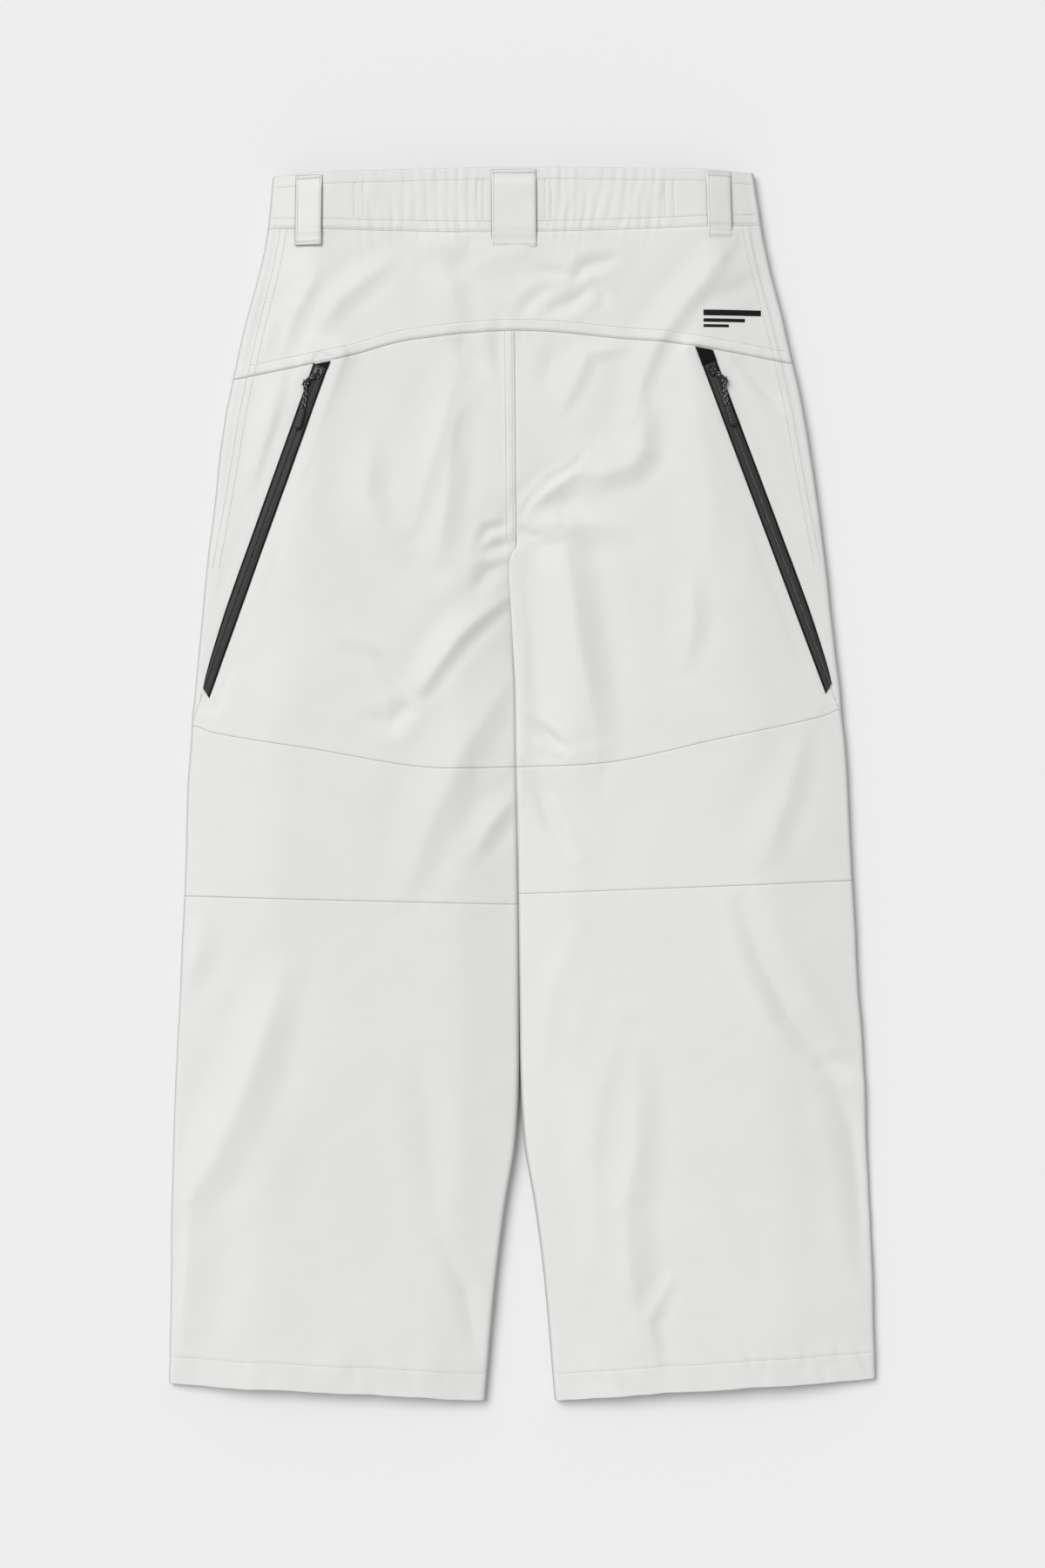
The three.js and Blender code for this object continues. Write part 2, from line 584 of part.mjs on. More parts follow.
function addFrontWaistband() {
  const edge = band(up(waistSeam), waistTop);
  const left = geometryOf(frontShell.intersect(edge).subtract(centreSlot));
  addPiece('left_waistband_front', mirrored(left), 'shell');
  const lift = (x) => UNDERLAP_LIFT * smooth((UNDERLAP_END - x) / UNDERLAP_RAMP);
  const columns = [0];
  for (let x = UNDERLAP_END - UNDERLAP_RAMP; x <= UNDERLAP_END; x += UNDERLAP_STEP) columns.push(x);
  const rows = halfRows(columns, FRONT_OUTER_COLUMNS, 0).filter((row) => row[0][1] > CROTCH_Y + SEAT_ABOVE_CROTCH);
  const bottom = (x, y) => frontBottom(x, y) + lift(x);
  const right = solidOf(gridSlab(rows, bottom, (x, y) => bottom(x, y) + WALL));
  addPiece('right_waistband_front', geometryOf(right.intersect(edge).subtract(centreSlot)), 'shell');
}

function addFly() {
  const tape = block(TAPE_MEETING_GAP / 2, FLY_TAPE_HALF, flyFootY + SEAM_GAP, flyTopY, FRONT_LIFT, FRONT_LIFT + WALL);
  addPair('fly_zip_tape', tape, 'zip');
  const coilBottom = FRONT_LIFT + WALL + SEAM_GAP;
  const coilTop = coilBottom + COIL_THICKNESS;
  const coil = block(
    -COIL_WIDTH / 2, COIL_WIDTH / 2, flyFootY + FLY_COIL_START, flyTopY - FLY_CLEAR, coilBottom, coilTop,
  );
  addPiece('fly_zip_coil', coil, 'black');
  const shieldBottom = coilTop + SEAM_GAP;
  const shieldTop = shieldBottom + SHIELD_THICKNESS;
  const shield = block(
    -SHIELD_LEFT, SHIELD_RIGHT, flyFootY - SHIELD_BELOW, flyTopY - FLY_CLEAR, shieldBottom, shieldTop,
  );
  addPiece('fly_shield', shield, 'lining');
}

function disc(radius, thickness, x, y, z) {
  const geometry = new THREE.CylinderGeometry(radius, radius, thickness, DISC_SIDES);
  geometry.rotateX(Math.PI / 2);
  geometry.translate(x, y, z + thickness / 2);
  return geometry;
}

function addWaistFastening() {
  const y0 = WAIST_Y - WAISTBAND + HALF_SEAM + TAB_EDGE_INSET;
  const y1 = WAIST_Y - TAB_EDGE_INSET;
  const middle = (y0 + y1) / 2;
  const tabTop = FRONT_LIFT + WALL;
  const tab = block(HALF_SEAM, TAB_LENGTH, y0, y1, FRONT_LIFT, tabTop);
  addPiece('waist_tab', tab, 'shell');
  const cap = disc(SNAP_CAP_RADIUS, SNAP_CAP_THICKNESS, SNAP_X, middle, FRONT_LIFT - SEAM_GAP - SNAP_CAP_THICKNESS);
  addPiece('snap_cap', cap, 'metal');
  addPiece('snap_stud', disc(SNAP_STUD_RADIUS, SNAP_STUD_THICKNESS, SNAP_X, middle, tabTop + SEAM_GAP), 'metal');
}

// ---- Sliders and pulls ------------------------------------------------------
// Drawn with +X along the zip, +Z away from the garment and the origin on the tape.
function sliderGeometry() {
  const base = block(-SLIDER_LENGTH / 2, SLIDER_LENGTH / 2, -SLIDER_WIDTH / 2, SLIDER_WIDTH / 2, 0, SLIDER_BASE);
  const outline = new THREE.Shape();
  outline.moveTo(-BAIL_LENGTH / 2, -BAIL_ROOT);
  outline.lineTo(BAIL_LENGTH / 2, -BAIL_ROOT);
  outline.lineTo(BAIL_LENGTH / 2, BAIL_WINDOW * BAIL_SHOULDER);
  outline.lineTo(BAIL_LENGTH / 2 - BAIL_BAR, BAIL_WINDOW + BAIL_BAR);
  outline.lineTo(-BAIL_LENGTH / 2 + BAIL_BAR, BAIL_WINDOW + BAIL_BAR);
  outline.lineTo(-BAIL_LENGTH / 2, BAIL_WINDOW * BAIL_SHOULDER);
  outline.closePath();
  const window = new THREE.Path();
  const half = BAIL_LENGTH / 2 - BAIL_BAR;
  window.moveTo(-half, 0);
  window.lineTo(-half, BAIL_WINDOW);
  window.lineTo(half, BAIL_WINDOW);
  window.lineTo(half, 0);
  window.closePath();
  outline.holes.push(window);
  const bail = new THREE.ExtrudeGeometry(outline, { depth: BAIL_WIDTH, bevelEnabled: false });
  bail.translate(0, 0, -BAIL_WIDTH / 2);
  bail.rotateX(Math.PI / 2);
  bail.translate(0, 0, SLIDER_BASE);
  return geometryOf(solidOf(base).add(solidOf(bail)));
}

const pivotHeight = SLIDER_BASE + BAIL_WINDOW / 2;

// The cord runs out of the grip, through the bail and back into the grip.
function pullCordGeometry() {
  const strand = CORD_STRAND.map(([share, spread]) => [share * CORD_REACH, spread * CORD_SPREAD]);
  const bend = [[CORD_TURN, CORD_SPREAD], [CORD_TURN_TIP, CORD_SHOULDER * CORD_SPREAD], [0, CORD_NOSE * CORD_SPREAD]];
  const half = [...strand, ...bend];
  const points = [...half, ...half.map(([x, y]) => [x, -y]).reverse()];
  const path = new THREE.CatmullRomCurve3(points.map(([x, y]) => new THREE.Vector3(x, y, pivotHeight)));
  const section = new THREE.Shape();
  section.absarc(0, 0, CORD_DIAMETER / 2, 0, Math.PI * 2);
  const settings = { extrudePath: path, steps: CORD_STEPS, curveSegments: ROUND_SEGMENTS, bevelEnabled: false };
  return geometryOf(solidOf(new THREE.ExtrudeGeometry(section, settings)));
}

function gripGeometry() {
  const half = GRIP_WIDTH / 2;
  const start = CORD_REACH + SEAM_GAP;
  const end = start + GRIP_LENGTH;
  const outline = new THREE.Shape();
  outline.moveTo(start, -half * GRIP_NOSE);
  outline.lineTo(start + GRIP_CHAMFER, -half);
  outline.lineTo(end - GRIP_CHAMFER, -half * GRIP_TAIL);
  outline.quadraticCurveTo(end, -half * GRIP_CORNER, end, 0);
  outline.quadraticCurveTo(end, half * GRIP_CORNER, end - GRIP_CHAMFER, half * GRIP_TAIL);
  outline.lineTo(start + GRIP_CHAMFER, half);
  outline.lineTo(start, half * GRIP_NOSE);
  outline.closePath();
  const settings = { depth: GRIP_THICKNESS, bevelEnabled: false, curveSegments: ROUND_SEGMENTS };
  const grip = new THREE.ExtrudeGeometry(outline, settings);
  grip.translate(0, 0, pivotHeight - GRIP_THICKNESS / 2);
  return geometryOf(solidOf(grip));
}

function addSlider(name, origin, along, outward) {
  const mount = new THREE.Group();
  const across = new THREE.Vector3().crossVectors(outward, along).normalize();
  const basis = new THREE.Matrix4().makeBasis(along, across, outward);
  mount.setRotationFromMatrix(basis);
  mount.position.copy(origin).addScaledVector(outward, SEAM_GAP);
  addPiece(`${name}_slider`, sliderGeometry(), 'metal', mount);
  addPiece(`${name}_pull_cord`, pullCordGeometry(), 'cord', mount);
  addPiece(`${name}_pull_grip`, gripGeometry(), 'black', mount);
  garment.add(mount);
}

function addSliders() {
  for (const side of [-1, 1]) {
    const along = new THREE.Vector3(side * ventAlong.x, ventAlong.y, -ventFall).normalize();
    const across = new THREE.Vector3(side * ventOut.x, ventOut.y, -ventTilt).normalize();
    const outward = new THREE.Vector3().crossVectors(across, along).multiplyScalar(side).normalize();
    if (outward.z < 0) outward.negate();
    const start = ventPoint(SLIDER_START, 0);
    const origin = new THREE.Vector3(side * start.x, start.y, ventTopZ - ventFall * SLIDER_START);
    addSlider(side < 0 ? 'left_vent' : 'right_vent', origin, along, outward);
  }
  const flyOrigin = new THREE.Vector3(0, flyTopY - SLIDER_LENGTH, FRONT_LIFT);
  addSlider('fly', flyOrigin, new THREE.Vector3(0, -1, 0), new THREE.Vector3(0, 0, -1));
}

// ---- Hem turnings and snow gaiters ------------------------------------------
// A flattened sleeve just inside the leg between two heights above the hem.
function sleeve(inset, wall, from, to) {
  const top = (x, y) => backTop(x, y) - WALL - SEAM_GAP;
  const floor = () => WALL + SEAM_GAP;
  const outer = halfShell(floor, top, inset);
  const inner = halfShell(() => floor() + wall, (x, y) => top(x, y) - wall, inset + wall);
  const lower = (x) => hemEdge(x) + from;
  const upper = (x) => hemEdge(x) + to;
  return outer.subtract(inner).intersect(band(lower, upper));
}

function addLegEnds() {
  addPair('hem_turning', sleeve(SLEEVE_INSET, TURNING_WALL, TURNING_START, HEM_TURNING), 'shell');
  const gaiterEnd = HEM_TURNING + SEAM_GAP + GAITER_LENGTH;
  addPair('snow_gaiter', sleeve(SLEEVE_INSET, GAITER_WALL, HEM_TURNING + SEAM_GAP, gaiterEnd), 'lining');
}

// ---- Print ------------------------------------------------------------------
function addPrint() {
  const baseY = yokeSeam(PRINT_LEFT) + PRINT_HEIGHT_ABOVE_SEAM;
  const bottom = (x, y) => backTop(x, y) + SEAM_GAP;
  const skin = halfShell(bottom, (x, y) => bottom(x, y) + PRINT_THICKNESS);
  const right = PRINT_LEFT + PRINT_WIDTH;
  const top = baseY + PRINT_HEIGHT;
  const patch = prism([[PRINT_LEFT, baseY], [right, baseY], [right, top], [PRINT_LEFT, top]]);
  addPiece('back_print', geometryOf(skin.intersect(patch)), 'black');
}

addBackPanels();
addVentDetails();
addBackWaistband();
addBeltLoops();
addFrontPanels();
addFrontWaistband();
addFly();
addWaistFastening();
addSliders();
addLegEnds();
addPrint();

export default garment;
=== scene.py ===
"""Ski pants lying on their front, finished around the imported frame.

Lengths inside the script are millimetres in the frame's axes, and MM turns them into metres.
"""

import math

import bmesh
import bpy
import numpy as np
from mathutils import Matrix, Vector


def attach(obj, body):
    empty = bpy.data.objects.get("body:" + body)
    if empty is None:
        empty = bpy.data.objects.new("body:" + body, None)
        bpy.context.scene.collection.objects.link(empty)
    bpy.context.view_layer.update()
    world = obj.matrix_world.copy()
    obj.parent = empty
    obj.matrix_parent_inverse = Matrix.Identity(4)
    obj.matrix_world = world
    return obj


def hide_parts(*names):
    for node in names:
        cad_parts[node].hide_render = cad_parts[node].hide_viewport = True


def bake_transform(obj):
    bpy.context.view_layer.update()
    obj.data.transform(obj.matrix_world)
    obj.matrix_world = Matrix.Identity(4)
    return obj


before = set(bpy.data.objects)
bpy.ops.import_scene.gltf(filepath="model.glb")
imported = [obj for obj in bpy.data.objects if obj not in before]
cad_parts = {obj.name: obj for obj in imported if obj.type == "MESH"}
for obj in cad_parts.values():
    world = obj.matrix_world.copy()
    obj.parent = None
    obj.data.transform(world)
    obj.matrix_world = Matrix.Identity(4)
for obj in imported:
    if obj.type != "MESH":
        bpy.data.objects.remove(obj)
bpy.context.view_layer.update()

MM = 0.001

# ---- The garment's sizes, as in the frame ------------------------------------
OUTSEAM = 1058
RISE = 324
WAIST_HALF = 207
SEAT_HALF = 252.5
CROTCH_HALF = 265
KNEE_HALF = 280.6
CALF_HALF = 301.5
HEM_HALF = 304.5
INSEAM_HALF_GAP = 0.5
HEM_HALF_GAP = 32
SEAT_LOFT = 24
HEM_LOFT = 16
EDGE_TOP = 3.5
EDGE_ROLL = 6
EDGE_SHARE = 0.36
INSEAM_SHARE = 0.62
SIDE_RAMP = 78
WAIST_RAMP = 46
INSEAM_RAMP = 50
CROTCH_LIFT = 17
CROTCH_LIFT_LENGTH = 38
CROTCH_LIFT_WIDTH = 34
LAP_STEP = 3.2
FRONT_LIFT = 6.5
FRONT_LIFT_INSET = 17
FRONT_LIFT_RAMP = 45
FRONT_LIFT_RISE = 33
WAISTBAND = 54
WAIST_SEAM_BOW = 6
WAIST_TOP_BOW = 4
YOKE_DEPTH = 85
UPPER_KNEE_HEIGHT = 589
LOWER_KNEE_HEIGHT = 440
LOWER_KNEE_DIP = 9
HEM_SLANT = 16
HEM_TURNING = 23
WAIST_Y = OUTSEAM / 2
HEM_Y = -OUTSEAM / 2
CROTCH_Y = WAIST_Y - RISE
UPPER_KNEE_Y = HEM_Y + UPPER_KNEE_HEIGHT
LOWER_KNEE_Y = HEM_Y + LOWER_KNEE_HEIGHT
VENT_TOP_X = 163
VENT_BOTTOM_INSET = 7.6
VENT_FOOT_ABOVE_KNEE = 20
VENT_TAPE = 13
TAPE_END_SLANT = 0.8
GARAGE_LENGTH = 11.5
GARAGE_HALF = 6.7
SLIDER_START = 18
ELASTIC_FROM = 26
ELASTIC_TO = 137
CORD_REACH = 34
SEAM_GAP = 0.3
YOKE_LEFT_SKEW = 6.5
YOKE_RIGHT_SKEW = 0.45 * YOKE_LEFT_SKEW
KNEE_SKEW = 4.6
CREASE_STRENGTH = 1.5
SIDE_SEAM_INSET = 9.5


def curve_through(stations):
    """A smooth curve through (position, value) stations, straight past both ends."""
    xs, ys = np.array(sorted(stations), float).T
    slopes = np.empty_like(xs)
    slopes[1:-1] = (ys[2:] - ys[:-2]) / (xs[2:] - xs[:-2])
    slopes[0] = (ys[1] - ys[0]) / (xs[1] - xs[0])
    slopes[-1] = (ys[-1] - ys[-2]) / (xs[-1] - xs[-2])

    def value(position):
        p = np.asarray(position, float)
        i = np.clip(np.searchsorted(xs, p) - 1, 0, len(xs) - 2)
        span = xs[i + 1] - xs[i]
        t = np.clip((p - xs[i]) / span, 0, 1)
        rise = ys[i + 1] - ys[i]
        bend = t * (1 - t) * ((1 - t) * (slopes[i] * span - rise) - t * (slopes[i + 1] * span - rise))
        before = np.where(p < xs[0], slopes[0] * (p - xs[0]), 0)
        past = before + np.where(p > xs[-1], slopes[-1] * (p - xs[-1]), 0)
        return ys[i] + t * rise + bend + past

    return value


def clamp01(value):
    return np.clip(value, 0, 1)


def smooth(value):
    t = clamp01(value)
    return t * t * (3 - 2 * t)


side_edge = curve_through([
    (WAIST_Y, WAIST_HALF), (WAIST_Y - 70, WAIST_HALF + 10), (WAIST_Y - 138, WAIST_HALF + 27),
    (CROTCH_Y + 100, SEAT_HALF), (CROTCH_Y, CROTCH_HALF), (UPPER_KNEE_Y, KNEE_HALF),
    (LOWER_KNEE_Y, KNEE_HALF + 8.4), (HEM_Y + 167, CALF_HALF), (HEM_Y, HEM_HALF),
])
HEM_SPREAD = HEM_HALF_GAP - INSEAM_HALF_GAP
inseam_edge = curve_through([
    (CROTCH_Y, INSEAM_HALF_GAP), (HEM_Y + 305, INSEAM_HALF_GAP),
    (HEM_Y + 222, INSEAM_HALF_GAP + 0.11 * HEM_SPREAD), (HEM_Y + 167, INSEAM_HALF_GAP + 0.4 * HEM_SPREAD),
    (HEM_Y + 102, INSEAM_HALF_GAP + 0.68 * HEM_SPREAD), (HEM_Y, HEM_HALF_GAP),
])
# How far the right leg's inner edge lies over the left leg.
lap = curve_through([
    (CROTCH_Y + 20, 1), (CROTCH_Y + 4, 4), (CROTCH_Y - 18, 7.5), (CROTCH_Y - 60, 5.5), (CROTCH_Y - 118, 3.0),
    (CROTCH_Y - 175, 2.7), (CROTCH_Y - 300, 1.2), (CROTCH_Y - 420, 0.8), (HEM_Y + 167, 1.5), (HEM_Y, 4.5),
])
YOKE_LINE = WAIST_Y - WAISTBAND - YOKE_DEPTH
yoke_curve = curve_through([
    (-97, YOKE_LINE - 8), (0, YOKE_LINE), (97, YOKE_LINE - 8), (161, YOKE_LINE - 18), (240, YOKE_LINE - 32),
])
knee_curve = curve_through([
    (0, UPPER_KNEE_Y - 44.5), (0.29 * KNEE_HALF, UPPER_KNEE_Y - 42), (0.61 * KNEE_HALF, UPPER_KNEE_Y - 25),
    (0.93 * KNEE_HALF, UPPER_KNEE_Y - 8), (KNEE_HALF, UPPER_KNEE_Y),
])


def yoke_seam(x):
    """The yoke's seam hangs lower on the wearer's left, past the middle of the seat."""
    x = np.asarray(x, float)
    skew = np.where(x > 0, YOKE_RIGHT_SKEW, -YOKE_LEFT_SKEW)
    return yoke_curve(np.abs(x)) + skew * smooth((np.abs(x) - 85) / 70)


def upper_knee_seam(x):
    return knee_curve(np.abs(x)) + KNEE_SKEW * np.asarray(x) / 240


def waist_seam(x):
    return WAIST_Y - WAISTBAND + WAIST_SEAM_BOW * (np.asarray(x) / WAIST_HALF) ** 2


def waist_top(x):
    x = np.asarray(x, float)
    waver = 0.5 * soft_noise(x, 0, 24, 83) * gather_mask(x)
    return WAIST_Y + waver - WAIST_TOP_BOW * (x / WAIST_HALF) ** 2


def lower_knee_seam(x):
    return LOWER_KNEE_Y - LOWER_KNEE_DIP * (1 - np.abs(x) / KNEE_HALF) + KNEE_SKEW * np.sign(x)


def hem_edge(x):
    waver = 0.7 * soft_noise(x, 0, 27, 81) + 0.35 * soft_noise(x, 0, 9, 82)
    return HEM_Y + waver + HEM_SLANT * np.maximum(0, np.abs(x) - HEM_HALF_GAP) / (HEM_HALF - HEM_HALF_GAP)


def inner_edge(leg, y):
    """Distance of a leg's inner edge from the centre line, on the leg's own side."""
    below = inseam_edge(y) - (lap(y) if leg > 0 else 0)
    return below * smooth((CROTCH_Y + 14 - y) / 24)


# ---- How high the garment lies -----------------------------------------------
def edge_rise(distance, ramp, share=EDGE_SHARE):
    """Share of the loft reached at a distance inside a folded edge."""
    roll = clamp01(distance / EDGE_ROLL)
    t = (distance - EDGE_ROLL) / (ramp - EDGE_ROLL)
    eased = np.where(t < 0.8, np.maximum(t, 0), np.where(t > 1.2, 1, t - (t - 0.8) ** 2 / 0.8))
    return share * np.sqrt(1 - (1 - roll) ** 2) + (1 - share) * eased


def loft_at(y):
    """Height of the garment away from its edges, greatest from the knee up."""
    return HEM_LOFT + (SEAT_LOFT - HEM_LOFT) * clamp01((y - HEM_Y) / UPPER_KNEE_HEIGHT)


def crotch_lift(ax, y):
    """The cloth is held up where the two legs' seams meet."""
    along, across = (y - CROTCH_Y) / CROTCH_LIFT_LENGTH, ax / CROTCH_LIFT_WIDTH
    return CROTCH_LIFT * np.exp(-along ** 2) * np.exp(-across ** 2)


def lap_share(y):
    """Where the right leg's inner edge lies on top of the left leg's."""
    return smooth((lap(y) - 1.2) / 2.2) * smooth((CROTCH_Y + 14 - y) / 20) * smooth((y + 300) / 60)


def lap_cover(x, y, leg):
    """Share of the right leg's cloth that lies over the left leg, beside the inner edge."""
    right = np.where(leg == 0, x >= 0, leg > 0)
    return np.where(right, lap_share(y), 0) * smooth((24 - np.abs(x)) / 20)


def under_lap(y, inside=7):
    """Height of the left leg's upper side under the lap, at a distance inside its edge."""
    rise = edge_rise(inside + crotch_lift(inside, y), INSEAM_RAMP, INSEAM_SHARE)
    return EDGE_TOP + (loft_at(y) - EDGE_TOP) * rise


def lie_height(x, y, leg):
    """Height of the garment's upper side before seams and creases."""
    ax = np.where(leg == 0, np.abs(x), x * leg)
    own = np.where(leg == 0, np.where(x >= 0, 1, -1), leg)
    inner = np.where(own > 0, inner_edge(1, y), inner_edge(-1, y))
    along_ramp = SIDE_RAMP + (WAIST_RAMP - SIDE_RAMP) * smooth((y - VENT_TOP[1] - 15) / 60)
    side = edge_rise(side_edge(y) - ax, along_ramp)
    apart = np.where(y >= CROTCH_Y, np.hypot(ax, y - CROTCH_Y), ax - inner) + crotch_lift(ax, y)
    inseam = edge_rise(apart, INSEAM_RAMP, INSEAM_SHARE)
    height = EDGE_TOP + (loft_at(y) - EDGE_TOP) * np.minimum(side, inseam)
    return height + lap_cover(x, y, leg) * np.maximum(0, under_lap(y) + LAP_STEP - height)


# ---- The vent zip's straight line --------------------------------------------
VENT_FOOT_Y = UPPER_KNEE_Y + VENT_FOOT_ABOVE_KNEE
VENT_TOP = np.array([VENT_TOP_X, float(yoke_curve(VENT_TOP_X))])
VENT_FOOT = np.array([float(side_edge(VENT_FOOT_Y)) - VENT_BOTTOM_INSET, VENT_FOOT_Y])
VENT_LENGTH = float(np.linalg.norm(VENT_FOOT - VENT_TOP))
VENT_ALONG = (VENT_FOOT - VENT_TOP) / VENT_LENGTH
VENT_OUT = np.array([-VENT_ALONG[1], VENT_ALONG[0]])
VENT_TOP_Z = float(lie_height(VENT_TOP[0], VENT_TOP[1], 1))
VENT_FOOT_Z = float(lie_height(VENT_FOOT[0], VENT_FOOT[1], 1))
VENT_FALL = (VENT_TOP_Z - VENT_FOOT_Z) / VENT_LENGTH
VENT_TILT = (1 - EDGE_SHARE) * (SEAT_LOFT - EDGE_TOP) / (SIDE_RAMP - EDGE_ROLL)


def vent_point(along, out=0):
    """A point of the right-hand vent zip, from its distances along and out from the centre line."""
    return (VENT_TOP[0] + along * VENT_ALONG[0] + out * VENT_OUT[0],
            VENT_TOP[1] + along * VENT_ALONG[1] + out * VENT_OUT[1])


def vent_offsets(x, y):
    """Distance along and out from the vent zip's centre line, on either side."""
    ax = np.abs(x) - VENT_TOP[0]
    ay = np.asarray(y) - VENT_TOP[1]
    return ax * VENT_ALONG[0] + ay * VENT_ALONG[1], ax * VENT_OUT[0] + ay * VENT_OUT[1]


def vent_nearness(x, y):
    along, out = vent_offsets(x, y)
    near = smooth((30 - np.abs(out)) / 20)
    within = smooth((along + 22) / 18) * smooth((VENT_LENGTH + 22 - along) / 18)
    return near * within


# ---- Cloth relief ------------------------------------------------------------
def soft_noise(x, y, cell, seed):
    """Smooth seeded noise between about -1 and 1, with features one cell across."""
    table = np.random.RandomState(seed).uniform(-1, 1, (64, 64))
    px, py = np.asarray(x) / cell, np.asarray(y) / cell
    ix, iy = np.floor(px).astype(int), np.floor(py).astype(int)
    fx, fy = px - ix, py - iy

    def weights(f):
        return [(1 - f) ** 3 / 6, (3 * f ** 3 - 6 * f ** 2 + 4) / 6,
                (-3 * f ** 3 + 3 * f ** 2 + 3 * f + 1) / 6, f ** 3 / 6]

    total = np.zeros(np.broadcast(px, py).shape)
    for a, wx in enumerate(weights(fx)):
        for b, wy in enumerate(weights(fy)):
            total += wx * wy * table[(ix + a) % 64, (iy + b) % 64]
    return total * 1.9


# Creases: route, height (below zero is a valley), reach to the right of travel, reach to the left.
CREASES = [
    # Yoke.
    (((-84, 469), (-62, 464), (-38, 460)), 2.0, 12, 18),
    (((-48, 396), (-54, 425), (-66, 453)), 1.8, 9, 16),
    (((-38, 441), (-15, 455), (16, 459)), 1.1, 11, 12),
    (((-200, 376), (-190, 405), (-171, 438)), 1.5, 7, 9),
    (((-166, 396), (-150, 418), (-128, 436), (-106, 451)), 1.6, 8, 10),
    (((-217, 372), (-205, 409)), 1.0, 6, 8),
    (((-51, 384), (-27, 356)), -1.6, 7, 7),
    (((-14, 402), (-14, 352)), -0.8, 6, 6),
    (((86, 451), (60, 444), (50, 430)), -1.5, 6, 6),
    (((68, 429), (46, 412), (27, 407)), -1.4, 6, 6),
    (((71, 431), (80, 411)), -0.9, 5, 5),
    (((29, 426), (12, 413), (5, 404)), -1.0, 6, 6),
    (((18, 442), (46, 438)), -0.8, 5, 5),
    (((103, 318), (110, 350), (122, 378), (145, 410), (165, 435), (188, 466)), 1.7, 7, 13),
    (((160, 411), (182, 421), (206, 432)), -0.8, 8, 8),
    # Thighs.
    (((-87, 226), (-78, 262), (-66, 300), (-58, 330), (-50, 353)), 2.1, 9, 15),
    (((-66, 198), (-61, 240), (-56, 280), (-52, 312), (-41, 334)), 2.4, 10, 13),
    (((-100, 202), (-118, 224), (-128, 248), (-124, 291)), 1.8, 10, 15),
    (((-226, 262), (-214, 305), (-201, 352)), 1.3, 8, 10),
    (((34, 379), (24, 339)), -0.9, 8, 8),
    (((40, 322), (52, 345), (62, 370), (92, 374)), 1.2, 6, 9),
    (((50, 268), (74, 266), (98, 274), (109, 287), (111, 328)), 2.6, 10, 20),
    (((5, 234), (28, 252), (50, 267)), 1.9, 9, 8),
    (((1, 228), (14, 246), (30, 261), (50, 273), (60, 286)), -0.9, 3.5, 3.5),
    (((4, 225), (35, 226), (66, 224), (87, 219)), 2.3, 14, 9),
    (((168, 196), (165, 250), (156, 300), (150, 348)), 1.4, 14, 18),
    (((188, 367), (208, 346), (227, 325)), -1.7, 7, 7),
    # Crotch and inner thighs.
    (((-8, 223), (-24, 219), (-33, 207)), -1.5, 4.5, 4.5),
    (((-7, 206), (-18, 204), (-31, 200)), -2.0, 6, 6),
    (((-9, 192), (-24, 184), (-35, 170)), -1.6, 7, 7),
    (((5, 221), (12, 214), (23, 214)), -0.8, 3, 3),
    (((68, 36), (60, 78), (52, 120), (46, 165), (42, 200), (40, 212)), 4.8, 15, 25),
    (((-89, 74), (-70, 101), (-50, 128), (-30, 146), (-6, 164)), 2.6, 6.5, 12),
    (((-146, 119), (-120, 106), (-100, 87), (-88, 76)), -1.8, 6, 8),
    (((-88, 76), (-108, 55), (-128, 60)), -1.6, 8, 8),
    (((146, 106), (152, 140), (151, 174)), 1.4, 8, 12),
    # Knees.
    (((-98, -92), (-72, -24), (-44, 36), (-7, 90)), 1.9, 12, 18),
    (((-37, -57), (-22, -31), (-3, -9)), 1.9, 8, 10),
    (((1, 62), (24, 44), (43, 30)), -2.2, 4.5, 4.5),
    (((3, 48), (16, 39)), -1.0, 4, 4),
    (((1, 16), (19, -9), (29, -34), (45, -60)), -1.9, 6, 6),
    (((5, 14), (40, -12), (62, -41)), -0.8, 8, 8),
    (((213, -62), (232, -8), (245, 41)), 1.5, 10, 14),
    # Lower legs.
    (((-293, -172), (-276, -140), (-274, -110)), 1.8, 12, 18),
    (((-297, -365), (-264, -322), (-246, -280), (-230, -240), (-214, -195), (-204, -163)), 3.1, 16, 18),
    (((-297, -484), (-290, -420), (-284, -358)), 2.3, 18, 8),
    (((-86, -236), (-78, -300), (-72, -360), (-68, -402)), -1.2, 14, 14),
    (((-67, -398), (-49, -430), (-40, -484)), -1.3, 8, 8),
    (((191, -106), (207, -150), (232, -200), (262, -238), (294, -251)), -2.8, 10, 12),
    (((266, -246), (284, -295), (294, -345), (300, -424)), -2.3, 12, 12),
    (((104, -503), (96, -450), (92, -402), (88, -363), (98, -320), (100, -270), (98, -230)), 2.5, 14, 16),
    (((62, -412), (62, -330), (68, -270), (84, -203)), 1.5, 13, 14),
    (((20, -252), (24, -185), (46, -128)), 0.8, 10, 10),
    (((116, -496), (108, -462), (129, -424)), 1.1, 6, 8),
]


